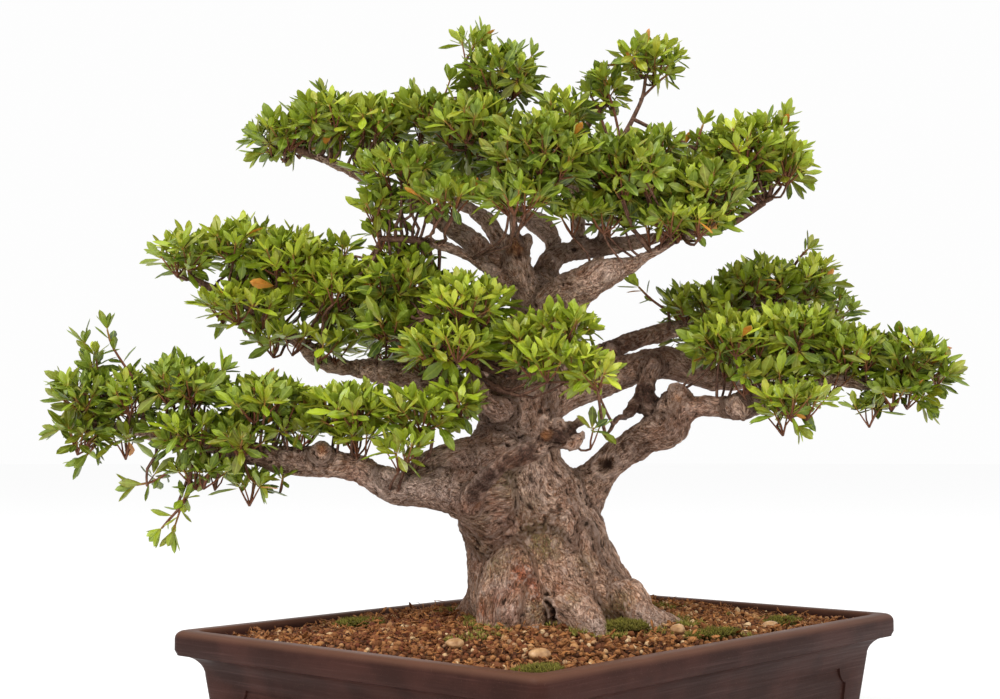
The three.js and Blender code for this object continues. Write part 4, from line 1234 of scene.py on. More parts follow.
stems = {name: [stem_of(route) for route in routes] for name, routes in LONG_SHOOTS.items()}
print("long shoots:", sum(len(group) for group in stems.values()))

# %% [markdown]
# The leaf is leathery and softly glossy. Its green is paler along the midrib and yellowish
# at the stalk, its underside is lighter, and now and then an old leaf has turned. One finish
# serves all the leaves: what differs between them comes from their own numbers.

# %% The leaf finish
leaf = Finish("azalea leaf", Specular_IOR_Level=0.48)
blade_x, blade_y, blade_side = leaf.parts(leaf.attribute("blade"))
tone, chance, turned = leaf.parts(leaf.attribute("tint"))
# The tone, which carries the painted light and shade of the masses and the shoots, picks the green.
green = leaf.add("ShaderNodeValToRGB", {"stops": [
    (0.0, linear(58, 76, 5)), (0.35, linear(110, 130, 10)), (0.65, linear(154, 170, 24)),
    (1.0, linear(200, 206, 62)),
]}, {0: tone})
green = leaf.blend(leaf.step(chance, 0.4, 1.0, 0, 0.6), green, linear(146, 132, 26))
rib = leaf.step(leaf.math("ABSOLUTE", blade_x), 0.04, 0.18, 1, 0)
green = leaf.blend(rib * 0.35, green, linear(184, 198, 84))
stalk = leaf.step(blade_y, 0.02, 0.34, 1, 0)
green = leaf.blend(stalk * 0.6, green, linear(176, 132, 44))
under = leaf.step(blade_side, -0.05, -0.3, 0, 1)
green = leaf.blend(under * 0.4, green, linear(140, 156, 66))
green = leaf.blend(turned, green, linear(196, 122, 44))
mottle = leaf.noise(leaf.place(), 240, 3, 0.6)
green = leaf.blend(leaf.step(mottle, 0.40, 0.68, 0, 0.25), green, linear(160, 184, 74))
green = leaf.blend(leaf.step(mottle, 0.48, 0.30, 0, 0.25), green, linear(56, 76, 6))
veins = leaf.noise(leaf.stretch(leaf.attribute("blade"), (3, 9, 1)), 1.0, 2)
leaf_material = leaf.wear(
    Base_Color=green,
    Roughness=leaf.step(mottle, 0.3, 0.7, 0.32, 0.48),
    Normal=leaf.bump(veins, 0.3 * MM, 0.35),
)

# %% [markdown]
# Now each mass is made, as one mesh that stands for its CAD node. The leaves are shaded flat,
# because with so few faces smooth shading would round the fold away.

# %% The masses of leaves
leaf_total = 0
for name, (tone_of_mass, entries) in FOLIAGE.items():
    rows = [i for i, row in enumerate(lump_rows) if row[0] == name]
    lots = [whorls_on(*shoots[i], tone_of_mass) for i in rows if len(shoots[i][0])]
    lots += [leaves_along(stem, tone_of_mass) for stem in stems.get(name, [])]
    points, faces = gather([lot[:2] for lot in lots])
    blade, tint = np.vstack([lot[2] for lot in lots]), np.vstack([lot[3] for lot in lots])
    leaf_total += len(faces) // len(leaf_faces)
    mass = piece_of(name.replace("foliage", "leaves"), points, faces, leaf_material,
                    {"blade": blade, "tint": tint}, smooth=False)
    settle(mass, "leaf", name)
print("leaves:", leaf_total)

# %% [markdown]
# ## Twigs
# Each lump of leaves is fed from the nearest limb. Its shoots are gathered into small
# groups. A branchlet runs from the limb to the base of each group, sagging and wandering a
# little, and from there a twig goes up to every whorl. Drawing a few thousand twigs by hand
# would take days, and no one sees where a single one goes, only that every whorl has one.

# %% Groups of shoots and their branchlets
GROUP_SIZE = 5
GROUPING_ROUNDS = 6
SAG = 0.1
WANDER = 0.06


def groups_of(places):
    """Splits places into groups of near ones: a group number for each."""
    count = max(1, round(len(places) / GROUP_SIZE))
    centres = places[rng.choice(len(places), count, replace=False)]
    for _ in range(GROUPING_ROUNDS):
        group = np.linalg.norm(places[:, None] - centres[None], axis=2).argmin(axis=1)
        centres = np.array([
            places[group == g].mean(axis=0) if (group == g).any() else centres[g]
            for g in range(len(centres))])
    return group


def branchlet(start, finish, thick, thin):
    """A stem that sags and wanders from start to finish and gets thinner."""
    t = np.linspace(0, 1, 4)[:, None]
    reach = np.linalg.norm(finish - start)
    rows = start + (finish - start) * t - UP * SAG * reach * np.sin(t * math.pi)
    rows[1:-1] += rng.normal(0, WANDER * reach, (2, 3))
    return strand_along(curve_through(np.hstack([rows, thick + (thin - thick) * t]), reach / 4))


limb_names = list(LIMBS)
limb_centres = np.vstack([strands[name]["centre"] for name in limb_names])
limb_radii = np.concatenate([strands[name]["radius"] for name in limb_names])
on_stub = np.concatenate([
    np.full(len(strands[name]["radius"]), name == "front stub") for name in limb_names])
FAR_OFF = 1.0
twig_parts, twig_young = [], []


def add_twig(strand, sides, young_start, young_end):
    part = tube_of(strand, sides)
    rows = len(strand["radius"])
    young = np.repeat(np.linspace(young_start, young_end, rows), sides)
    twig_parts.append(part)
    twig_young.append(np.concatenate([young, [young_start, young_end]]))


def nearest_limb(point, of_the_tuft=False):
    """The limb point that a branchlet to this place starts from: the stub feeds only its tuft."""
    away_from = np.linalg.norm(limb_centres - point, axis=1) + 1.2 * limb_radii
    return limb_centres[np.where(on_stub & (not of_the_tuft), FAR_OFF, away_from).argmin()]


# %% [markdown]
# The thin ends of the limbs, which were left out of the remesh, come first. Then every group
# gets its branchlet and its twigs, and every long shoot its stem. A twig's age goes from old
# wood at 0 to this year's green at 1. A twig is a tube of four sides: it is about as thick as
# a match, and no more can be seen.

# %% Twigs
FORK_BELOW = 13 * MM
FORK_DROP = 4 * MM
BRANCHLET_TIP = 1.0 * MM
BRANCHLET_THICKENS = 14
TWIG_RADII = (0.0009, 0.00075, 0.0006)
for name in limb_names:
    strand = strands[name]
    thin = np.flatnonzero(strand["radius"] > THINNEST)[-1]
    if thin < len(strand["radius"]) - 3:
        add_twig({key: values[max(thin - 3, 0):] for key, values in strand.items()}, 8, 0.0, 0.3)
for (mass_name, _, _), (places, ways) in zip(lump_rows, shoots):
    if not len(places):
        continue
    group = groups_of(places)
    for g in np.unique(group):
        ends, leans = places[group == g], ways[group == g]
        fork = ends.mean(axis=0) - FORK_BELOW * unit(leans.mean(axis=0)) - FORK_DROP * UP
        hub = nearest_limb(fork, mass_name == "foliage_centre_tuft")
        thick = (0.9 + BRANCHLET_THICKENS * np.linalg.norm(hub - fork)) * MM
        add_twig(branchlet(hub, fork, thick, BRANCHLET_TIP), 4, 0.1, 0.5)
        for place, lean in zip(ends, leans):
            joint = 0.55 * fork + 0.45 * place - 2 * MM * lean
            rows = np.column_stack([[fork, joint, place + lean * MM], TWIG_RADII])
            add_twig(strand_along(rows), 4, 0.5, 1.0)
for stem in itertools.chain(*stems.values()):
    foot = stem["centre"][0]
    add_twig(branchlet(nearest_limb(foot), foot, 1.8 * MM, STEM_RADIUS), 5, 0.2, 0.4)
    add_twig(stem, 5, 0.4, 1.0)
print("twigs and branchlets:", len(twig_parts))

# %% [markdown]
# Young azalea twigs are reddish brown and end in green. The old ones are grey-brown like the
# limbs. The twig's age picks the colour, so one finish runs through from limb to leaf.

# %% The twig finish
twig = Finish("azalea twig", Specular_IOR_Level=0.3)
young = twig.attribute("young", "Fac")
twig_noise = twig.noise(twig.place(), 300, 4, 0.6, 0.8)
twig_colour = twig.blend(twig.step(twig_noise, 0.35, 0.65), linear(70, 46, 34), linear(122, 88, 70))
twig_colour = twig.blend(twig.step(young, 0.3, 0.8, 0, 0.8), twig_colour, linear(120, 68, 40))
twig_colour = twig.blend(twig.step(young, 0.8, 1.0, 0, 0.7), twig_colour, linear(150, 116, 44))
points, faces = gather(twig_parts)
twigs = piece_of("twigs", points, faces, twig.wear(
    Base_Color=twig_colour,
    Roughness=twig.step(twig_noise, 0.3, 0.7, 0.8, 0.55),
    Normal=twig.bump(twig_noise, 0.5 * MM, 0.7),
), {"young": np.concatenate(twig_young)})
settle(twigs, "bark")

# %% [markdown]
# ## The pot
# The pot is pressed from dark clay. A profile spun round an axis gives only round pots, and
# one swept along a rectangle pinches at the corners. So it is modelled from one block: the
# upright edges are rounded, the block is cut across at each level of the profile, and each
# level is drawn in to its place: the rim band, the hollow curve under it, and the wall that
# leans in towards the foot.

# %% The pot's sizes
POT_LENGTH = 480
POT_WIDTH = 368
POT_HEIGHT = 130
FOOT_HEIGHT = 14
RIM_BAND = 18.5
RIM_OVERHANG = 17
COVE_HEIGHT = 16
WALL_LEAN = 0.13
WALL_THICKNESS = 13
RIM_TOP = 14
FLOOR_TOP = 26
BAND_BOTTOM = POT_HEIGHT - RIM_BAND
WALL_TOP = BAND_BOTTOM - COVE_HEIGHT
WALL_FOOT_INSET = RIM_OVERHANG + (WALL_TOP - FOOT_HEIGHT) * WALL_LEAN
COVE_STEPS = 8
PLAN_CORNER = 10
BAND_EDGE = 1.5


def level_scale(inset):
    """How much a level is drawn in along the length and the width."""
    return 1 - 2 * inset / POT_LENGTH, 1 - 2 * inset / POT_WIDTH, 1


profile = [(FOOT_HEIGHT, WALL_FOOT_INSET + 2), (FOOT_HEIGHT + 3, WALL_FOOT_INSET)]
for step in range(COVE_STEPS + 1):
    angle = step / COVE_STEPS * math.pi / 2
    inset = RIM_OVERHANG - (RIM_OVERHANG - BAND_EDGE) * (1 - math.cos(angle))
    profile.append((WALL_TOP + COVE_HEIGHT * math.sin(angle), inset))
profile += [(BAND_BOTTOM + 0.8, 1.4), (BAND_BOTTOM + 4, 0)]
print("levels of the profile:", len(profile))

# %% The pot's outside
begin(bpy.ops.mesh.primitive_cube_add, size=1,
      location=(0, 0, (POT_HEIGHT + FOOT_HEIGHT) / 2 * MM),
      scale=(POT_LENGTH * MM, POT_WIDTH * MM, (POT_HEIGHT - FOOT_HEIGHT) * MM))
pick("EDGE", lambda e: abs(e.verts[0].co.z - e.verts[1].co.z) > 0.1)
bpy.ops.mesh.bevel(offset=PLAN_CORNER * MM, segments=6)
for level, _ in profile[1:]:
    bpy.ops.mesh.select_all(action="SELECT")
    bpy.ops.mesh.bisect(plane_co=(0, 0, level * MM), plane_no=(0, 0, 1))
for level, inset in profile:
    pick("VERT", lambda v: abs(v.co.z - level * MM) < 0.05 * MM)
    bpy.ops.transform.resize(value=level_scale(inset), center_override=(0, 0, level * MM))
print("points on the outside:", len(shape_now().verts))

# %% [markdown]
# The hollow is pushed down from the top, level by level, and each level is scaled to its own
# inset. An inset operator would make the rim wider at the rounded corners and tangle there.
# Last, the rim's two edges are rounded, the outer one more than the inner one.

# %% The pot's hollow and rim
HOLLOW = (
    (POT_HEIGHT, RIM_TOP), (POT_HEIGHT - 9, RIM_TOP + 1), (BAND_BOTTOM, RIM_TOP + 4),
    (WALL_TOP, RIM_OVERHANG + WALL_THICKNESS), (FLOOR_TOP, WALL_FOOT_INSET + WALL_THICKNESS),
)
pick("FACE", lambda f: f.normal.z > 0.9)
for level, inset in HOLLOW:
    picked = [v.co for v in shape_now().verts if v.select]
    drop = level * MM - picked[0].z
    span = max(co.x for co in picked)
    width = max(co.y for co in picked)
    bpy.ops.mesh.extrude_region_move(TRANSFORM_OT_translate={"value": (0, 0, drop)})
    bpy.ops.transform.resize(
        value=((POT_LENGTH / 2 - inset) * MM / span, (POT_WIDTH / 2 - inset) * MM / width, 1),
        center_override=(0, 0, level * MM))


def on_rim(vertex, outer):
    """Whether a point lies on the rim's top, on its outer or on its inner edge."""
    middle_x = (POT_LENGTH / 2 - RIM_TOP + 2) * MM
    middle_y = (POT_WIDTH / 2 - RIM_TOP + 2) * MM
    outside = abs(vertex.co.x) > middle_x or abs(vertex.co.y) > middle_y
    return abs(vertex.co.z - POT_HEIGHT * MM) < 1e-5 and outside == outer


for outer, rounding, steps in ((True, 6, 5), (False, 2.5, 3)):
    pick("EDGE", lambda e: all(on_rim(v, outer) for v in e.verts))
    bpy.ops.mesh.bevel(offset=rounding * MM, segments=steps)
pot = end("clay_pot")
print("pot, mm:", (np.array(pot.dimensions) / MM).round(1))

# %% [markdown]
# Each wall has a sunk panel whose corners are cut in. The panel could be inset into the wall's
# face, but then its hollow corners would have to be drawn point by point. A cutter gives them
# with one bevel: it is a block with its corner edges bevelled hollow, and it leans as the
# wall does.

# %% Panels
PANEL_DEPTH = 2
PANEL_CORNER = 13
HOLLOW_BEVEL = 0.13
CUTTER_DEPTH = 10
PANEL_HEIGHT = WALL_TOP - FOOT_HEIGHT - 18
FROM_CORNER = 33
WALL_MIDDLE = (WALL_TOP + FOOT_HEIGHT) / 2 + 3
MIDDLE_INSET = RIM_OVERHANG + (WALL_TOP - WALL_MIDDLE) * WALL_LEAN + PANEL_DEPTH


def panel_cutter(length, wall, turn):
    """The cutter for a wall that lies half of wall from the middle, turned to its side."""
    begin(bpy.ops.mesh.primitive_cube_add, size=1,
          location=(0, -(wall / 2 - MIDDLE_INSET + CUTTER_DEPTH / 2) * MM, WALL_MIDDLE * MM),
          scale=((length - 2 * (MIDDLE_INSET + FROM_CORNER)) * MM, CUTTER_DEPTH * MM, PANEL_HEIGHT * MM))
    pick("EDGE", lambda e: abs(e.verts[0].co.y - e.verts[1].co.y) > CUTTER_DEPTH / 2 * MM)
    bpy.ops.mesh.bevel(offset=PANEL_CORNER * MM, segments=8, profile=HOLLOW_BEVEL)
    for level in {round(v.co.z, 5) for v in shape_now().verts}:
        pick("VERT", lambda v: abs(v.co.z - level) < 0.01 * MM)
        bpy.ops.transform.translate(value=(0, -(level - WALL_MIDDLE * MM) * WALL_LEAN, 0))
    bpy.ops.mesh.select_all(action="SELECT")
    bpy.ops.transform.rotate(value=turn, orient_axis="Z", center_override=(0, 0, 0))
    return end("panel cutter")


QUARTER = math.pi / 2
for length, wall, turn in ((POT_LENGTH, POT_WIDTH, 0), (POT_WIDTH, POT_LENGTH, QUARTER),
                           (POT_LENGTH, POT_WIDTH, math.pi), (POT_WIDTH, POT_LENGTH, -QUARTER)):
    carve(pot, panel_cutter(length, wall, turn))
print("points with panels:", len(pot.data.vertices))

# %% [markdown]
# The corner feet are made by pushing two arms out of a small block, as that gives the L shape
# without a cut. A drain hole and a wire hole are drilled through the left half of the floor.
# Then the right half is cut off and the left half is mirrored, so both sides agree.

# %% Feet and holes
FOOT_ARM_X = 70
FOOT_ARM_Y = 58
FOOT_WIDTH = 26
FOOT_BLOCK = FOOT_HEIGHT + 4
FOOT_X = POT_LENGTH / 2 - WALL_FOOT_INSET - 4
FOOT_Y = POT_WIDTH / 2 - WALL_FOOT_INSET - 4
for side_x, side_y in ((1, 1), (-1, 1), (-1, -1), (1, -1)):
    foot_x = side_x * (FOOT_X - FOOT_WIDTH / 2)
    foot_y = side_y * (FOOT_Y - FOOT_WIDTH / 2)
    begin(bpy.ops.mesh.primitive_cube_add, size=1,
          location=(foot_x * MM, foot_y * MM, FOOT_BLOCK / 2 * MM),
          scale=(FOOT_WIDTH * MM, FOOT_WIDTH * MM, FOOT_BLOCK * MM))
    pick("FACE", lambda f: f.normal.x * side_x < -0.9)
    bpy.ops.mesh.extrude_region_move(
        TRANSFORM_OT_translate={"value": (-side_x * (FOOT_ARM_X - FOOT_WIDTH) * MM, 0, 0)})
    pick("FACE", lambda f: (
        f.normal.y * side_y < -0.9 and abs(f.calc_center_median().x) > (FOOT_X - FOOT_WIDTH) * MM))
    bpy.ops.mesh.extrude_region_move(
        TRANSFORM_OT_translate={"value": (0, -side_y * (FOOT_ARM_Y - FOOT_WIDTH) * MM, 0)})
    carve(pot, end("foot"), "UNION")

DRAIN_HOLE = (-110, 0, 16, 40)
WIRE_HOLE = (-60, -40, 3.5, 16)
for x, y, radius, sides in (DRAIN_HOLE, WIRE_HOLE):
    begin(bpy.ops.mesh.primitive_cylinder_add, vertices=sides, radius=radius * MM, depth=30 * MM,
          location=(x * MM, y * MM, 20 * MM))
    carve(pot, end("drill"))
bpy.ops.object.mode_set(mode="EDIT")
bpy.ops.mesh.select_all(action="SELECT")
bpy.ops.mesh.bisect(plane_co=(0, 0, 0), plane_no=(1, 0, 0), clear_outer=True)
end("clay_pot")
modify(pot, "MIRROR", use_mirror_merge=True, merge_threshold=0.02 * MM)
modify(pot, "BEVEL", width=1.1 * MM, segments=2, limit_method="ANGLE", angle_limit=math.radians(32))
bpy.ops.object.shade_smooth_by_angle(angle=math.radians(34))
print("pot points:", len(pot.data.vertices))

# %% [markdown]
# The clay is a dark purple-brown, fired without a glaze and rubbed with oil, so it has a
# soft sheen. Long faint streaks from wiping run level round the pot: they come from a noise
# that is squeezed along the height. Fine pale specks lie in the clay, and the top of the rim
# is painted paler, as a painted sheen.

# %% The clay finish
clay = Finish("dark oiled clay", Specular_IOR_Level=0.07)
pot_place = clay.place()
wipe = clay.noise(clay.stretch(pot_place, (12, 12, 620)), 1.0, 4, 0.6, 0.3)
cloud = clay.noise(pot_place, 22, 3, 0.55)
speck = clay.noise(pot_place, 900, 2, 0.6)
pot_height = clay.parts(pot_place)[2]
clay_colour = clay.blend(clay.step(cloud, 0.35, 0.65), linear(46, 25, 20), linear(60, 34, 28))
clay_colour = clay.blend(clay.step(wipe, 0.52, 0.72, 0, 0.2), clay_colour, linear(92, 60, 54))
clay_colour = clay.blend(clay.step(wipe, 0.46, 0.30, 0, 0.2), clay_colour, linear(38, 20, 16))
clay_colour = clay.blend(clay.step(speck, 0.60, 0.74, 0, 0.2), clay_colour, linear(110, 82, 70))
# Painted sheen: the top of the rim is painted paler.
rim_painted_sheen = clay.step(pot_height, 0.124, 0.1296, 0, 0.5)
clay_colour = clay.blend(rim_painted_sheen, clay_colour, linear(116, 80, 62))
pot.data.materials.clear()
pot.data.materials.append(clay.wear(
    Base_Color=clay_colour,
    Roughness=clay.step(wipe, 0.35, 0.7, 0.52, 0.4),
    Normal=clay.bump(wipe * 0.6 + speck * 0.25, 0.5 * MM, 0.5),
))
settle(pot, "pot", "pot")

# %% [markdown]
# ## The soil
# Bonsai soil is baked clay in grains of a few millimetres. The CAD soil keeps its shape and
# gets a crumbly finish, and on it lie several thousand grains, each a small uneven stone of
# its own colour. A bumpy surface alone would look like a carpet from so near. Each grain
# starts from one twenty-sided pattern, whose corners are pushed in and out at random.

# %% One grain and its copies
begin(bpy.ops.mesh.primitive_ico_sphere_add, subdivisions=1, radius=1)
stone_points, stone_faces = pattern_of(end())


def turned_stones(places, sizes, flatness, rough):
    """Copies of the stone, each turned, flattened and made uneven in its own way."""
    count = len(places)
    turn = np.linalg.qr(rng.normal(size=(count, 3, 3)))[0]
    turn *= np.sign(np.linalg.det(turn))[:, None, None]
    bulge = rng.uniform(1 - rough, 1 + rough, (count, len(stone_points), 1))
    squash = rng.uniform(flatness, 1, (count, 1, 3))
    points = np.einsum("nvi,nij->nvj", stone_points[None] * bulge * squash, turn)
    points *= sizes[:, None, None]
    faces = stone_faces[None] + (np.arange(count) * len(stone_points))[:, None, None]
    return (points + places[:, None]).reshape(-1, 3), faces.reshape(-1, 3)


print("one grain has", len(stone_faces), "triangles")

# %% [markdown]
# The grains lie on a square grid, each moved off its point at random, so they cover the soil
# evenly and still look strewn. The soil is a low mound, with a level edge inside the rim, as
# in the CAD. One grain in sixteen or so is bigger, and none lies inside the wood.

# %% Where the grains lie
SOIL_X = 224
SOIL_Y = 168
SOIL_BELOW_RIM = 8
MOUND_X = 222
MOUND_Y = 164
MOUND_BASE_BELOW_RIM = 10
MOUND_RISE = 15
GRAIN_PITCH = 5.05
GRAIN_SHIFT = 2.3
GRAIN_SIZES = (1.8, 3.3)
BIG_GRAINS = (0.06, 1.4)
GRAIN_SEAT = (-0.1, 0.55)
GRAIN_FLATNESS = 0.6
GRAIN_ROUGHNESS = 0.22


def soil_height(x, y):
    reach = np.clip(1 - (x / MOUND_X) ** 2 - (y / MOUND_Y) ** 2, 0, 1)
    mound = POT_HEIGHT - MOUND_BASE_BELOW_RIM + MOUND_RISE * np.sqrt(reach)
    return np.maximum(POT_HEIGHT - SOIL_BELOW_RIM, mound)


columns = np.arange(-SOIL_X, SOIL_X, GRAIN_PITCH)
rows = np.arange(-SOIL_Y, SOIL_Y, GRAIN_PITCH)
grid_x, grid_y = np.meshgrid(columns, rows)
grid = np.stack([grid_x.ravel(), grid_y.ravel()], 1)
grid = grid + rng.uniform(-GRAIN_SHIFT, GRAIN_SHIFT, grid.shape)
grid = grid[(np.abs(grid[:, 0]) < SOIL_X - 1) & (np.abs(grid[:, 1]) < SOIL_Y - 1)]
share, larger = BIG_GRAINS
size = rng.uniform(*GRAIN_SIZES, len(grid)) * np.where(rng.random(len(grid)) < share, larger, 1)
seat = size * rng.uniform(*GRAIN_SEAT, len(grid))
grains = np.stack([*grid.T, soil_height(*grid.T) + seat], 1) * MM
clear = gap_to_wood(grains) > -1.5 * MM
grains, size = grains[clear], size[clear]
points, faces = turned_stones(grains, size * MM, GRAIN_FLATNESS, GRAIN_ROUGHNESS)
print("grains:", len(grains))

# %% [markdown]
# Every grain has its own colour, from dark brown over orange to cream, and the ones at the
# left are redder, where old bark has fallen on them. The numbers behind this are drawn once
# a grain and kept on its points, because a noise would run across from grain to grain.

# %% The finish of the grains
redness = np.clip(0.5 - seen_at(grains)[:, 0] / 180 + 0.25 * noise(grains * 18), 0, 1)
lot = np.stack([rng.random(len(grains)), redness, rng.random(len(grains))], 1)
baked = Finish("baked clay grains", Specular_IOR_Level=0.25)
pick_one, red_side, shade = baked.parts(baked.attribute("lot"))
grain_colour = baked.add("ShaderNodeValToRGB", {"stops": [
    (0.0, linear(58, 30, 15)), (0.22, linear(100, 58, 31)), (0.5, linear(136, 86, 48)),
    (0.74, linear(168, 116, 70)), (0.9, linear(188, 142, 94)), (1.0, linear(214, 184, 142)),
]}, {0: pick_one})
red_amount = red_side * baked.step(shade, 0.2, 0.9, 0, 0.75)
grain_colour = baked.blend(red_amount, grain_colour, linear(112, 56, 32))
crumb = baked.noise(baked.place(), 800, 3, 0.6)
grain_colour = baked.blend(baked.step(crumb, 0.50, 0.30, 0, 0.5), grain_colour, linear(60, 36, 22))
soil_grains = piece_of("soil_grains", points, faces, baked.wear(
    Base_Color=grain_colour,
    Roughness=baked.step(crumb, 0.3, 0.7, 0.95, 0.75),
    Normal=baked.bump(crumb, 0.4 * MM, 0.8),
), {"lot": np.repeat(lot, len(stone_points), axis=0)})
settle(soil_grains, "soil")

# %% [markdown]
# Between the grains the CAD soil itself shows. Cells about four millimetres wide, each of its
# own tone and with painted shade in the gaps between them, carry the look of grains down into
# the shadows.

# %% The soil between the grains
CRUMBS_A_METRE = 260
crumbs = Finish("crumbly soil", Specular_IOR_Level=0.15)
soil_place = crumbs.place()
crumb_cells = crumbs.cells(soil_place, CRUMBS_A_METRE)
crumb_lot = crumbs.cells(soil_place, CRUMBS_A_METRE, "Color")
soil_tone = crumbs.blend(crumbs.parts(crumb_lot)[0], linear(58, 34, 20), linear(138, 92, 58))
# Painted shade: the gaps between the cells are darkened.
soil_tone = crumbs.blend(crumbs.step(crumb_cells, 0.35, 0.75, 0, 0.8), soil_tone, linear(40, 24, 15))
soil_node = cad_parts["soil"]
soil_node.material_slots[0].material = crumbs.wear(
    Base_Color=soil_tone,
    Roughness=crumbs.step(crumb_cells, 0.1, 0.7, 0.85, 0.98),
    Normal=crumbs.bump(crumb_cells, -2.0 * MM, 1.0),
)

# %% [markdown]
# A few larger pebbles, rounded by water, lie where the CAD has them. They start from a sphere
# of even triangles, because one of rings and segments shows its poles. It is flattened, and a
# slow noise takes the evenness out of it.

# %% Pebbles
river = Finish("river pebble", Specular_IOR_Level=0.4)
pebble_cloud = river.noise(river.place(), 120, 4, 0.6, 0.5)
pebble_material = river.wear(
    Base_Color=river.blend(
        river.step(pebble_cloud, 0.3, 0.7), linear(146, 104, 64), linear(200, 158, 112)),
    Roughness=river.step(pebble_cloud, 0.3, 0.7, 0.6, 0.42),
    Normal=river.bump(pebble_cloud, 0.4 * MM, 0.4),
)


def middle_of(node):
    """The middle and the half sizes of a CAD node's box."""
    low, high = (np.array(corner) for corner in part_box(node))
    return (low + high) / 2, (high - low) / 2


begin(bpy.ops.mesh.primitive_ico_sphere_add, subdivisions=4, radius=1)
ball_points, ball_faces = pattern_of(end())
IN_ITS_BOX = 0.95
for name in ("front", "left", "root", "right"):
    middle, half = middle_of("pebble_" + name)
    uneven = 0.16 * noise(ball_points * 1.1 + middle * 400) + 0.05 * noise(ball_points * 3 + 8)
    points = ball_points * (1 + uneven)[:, None]
    stone = piece_of("stone_" + name, points * half * IN_ITS_BOX + middle, ball_faces, pebble_material)
    settle(stone, "pebble", "pebble_" + name)

# %% [markdown]
# Moss is deep olive at the foot of its stems and yellower at the tips, so each point of a
# blade keeps a tone, and a ramp turns the tone into a colour.

# %% The moss finish
moss = Finish("cushion moss", Specular_IOR_Level=0.2)
blade_tone = moss.attribute("tone", "Fac")
moss_noise = moss.noise(moss.place(), 420, 3, 0.6)
moss_colour = moss.add("ShaderNodeValToRGB", {"stops": [
    (0.0, linear(58, 56, 14)), (0.4, linear(94, 88, 30)), (0.75, linear(126, 122, 46)),
    (1.0, linear(166, 158, 82)),
]}, {0: blade_tone})
moss_colour = moss.blend(moss.step(moss_noise, 0.45, 0.7, 0, 0.4), moss_colour, linear(128, 104, 44))
moss_material = moss.wear(
    Base_Color=moss_colour,
    Roughness=moss.step(moss_noise, 0.3, 0.7, 0.9, 0.7),
    Normal=moss.bump(moss_noise, 0.6 * MM, 0.8),
)

# %% [markdown]
# Moss grows in low cushions. A cushion is a lumpy dome, covered with hundreds of small blades
# that lean outwards. Hair curves would do for the blades, but they are no mesh and would be
# lost on export, so a blade is a thin pyramid.

# %% Moss cushions
BLADES = 900
BLADE_LENGTHS = (2.0, 4.6)
BLADE_WIDTHS = (0.35, 0.6)
FOOT_TONE = 0.45
DOME_TONE = 0.12


def blades_on(places, ways, lengths, width):
    """Thin pyramids that stand on places and point along ways."""
    side = unit(np.cross(ways, rng.normal(size=ways.shape)))
    other = np.cross(ways, side)
    base = places[:, None] + width[:, None, None] * np.stack([
        side, -0.5 * side + 0.87 * other, -0.5 * side - 0.87 * other], 1)
    points = np.concatenate([base, (places + ways * lengths[:, None])[:, None]], 1)
    faces = np.array([[0, 1, 3], [1, 2, 3], [2, 0, 3], [2, 1, 0]])
    faces = faces[None] + (np.arange(len(places)) * 4)[:, None, None]
    return points.reshape(-1, 3), faces.reshape(-1, 3)


def cushion(name):
    middle, half = middle_of("moss_" + name)
    ragged = 0.88 + 0.25 * noise(ball_points * 1.7 + middle * 300) + 0.10 * noise(ball_points * 5 + 3)
    dome = ball_points * ragged[:, None] * half * (0.92, 0.92, 0.8) + middle
    start = rng.choice(np.flatnonzero(ball_points[:, 2] > -0.1), BLADES)
    outward = ball_points[start] * (1, 1, 0.6)
    ways = unit(outward + 0.9 * UP + 0.45 * rng.normal(size=(BLADES, 3)))
    jitter = 0.9 * MM * rng.normal(size=(BLADES, 3)) * (1, 1, 0.3)
    blades = blades_on(dome[start] + jitter, ways, rng.uniform(*BLADE_LENGTHS, BLADES) * MM,
                       rng.uniform(*BLADE_WIDTHS, BLADES) * MM)
    blade_tones = np.repeat(rng.uniform(0.2, 1, BLADES), 4)
    blade_tones[np.arange(BLADES * 4) % 4 != 3] *= FOOT_TONE
    points, faces = gather([(dome, ball_faces), blades])
    tone = np.concatenate([np.full(len(dome), DOME_TONE), blade_tones])
    piece = piece_of("cushion_" + name, points, faces, moss_material, {"tone": tone})
    settle(piece, "moss", "moss_" + name)


for name in ("front", "between_roots", "right_root", "right_end", "left"):
    cushion(name)

# %% [markdown]
# The finest tufts also grow between the grains close to the roots, where watering keeps them
# damp, and in a few patches further out. Places are tried all over the soil, and each is kept
# with a chance that falls with its distance from the wood.

# %% Tufts between the grains
TRIED_TUFTS = 9000
TUFTS = 520
BLADES_A_TUFT = 7
TUFT_SPREAD = 1.3 * MM
tuft_x = rng.uniform(-SOIL_X, SOIL_X, TRIED_TUFTS)
tuft_y = rng.uniform(-SOIL_Y, SOIL_Y, TRIED_TUFTS)
tuft_places = np.stack([tuft_x, tuft_y, soil_height(tuft_x, tuft_y) + 1.5], 1) * MM
gap = gap_to_wood(tuft_places) / MM
likely = np.exp(-((gap - 3) / 9) ** 2) + 0.5 * (noise(tuft_places * 14 + 3) > 0.42)
likely = likely * (noise(tuft_places * 25) > -0.1)
tuft_places = tuft_places[(gap > -1) & (rng.random(TRIED_TUFTS) < likely)][:TUFTS]
tuft_ends = np.repeat(tuft_places, BLADES_A_TUFT, axis=0)
tuft_ends = tuft_ends + rng.normal(0, TUFT_SPREAD, tuft_ends.shape) * (1, 1, 0.2)
tuft_ways = unit(UP + 0.55 * rng.normal(size=tuft_ends.shape))
points, faces = blades_on(tuft_ends, tuft_ways, rng.uniform(2.5, 5.5, len(tuft_ends)) * MM,
                          rng.uniform(*BLADE_WIDTHS, len(tuft_ends)) * MM)
tone = np.repeat(rng.uniform(0.3, 1, len(tuft_ends)), 4)
tufts = piece_of("moss_tufts", points, faces, moss_material, {"tone": tone})
settle(tufts, "moss")

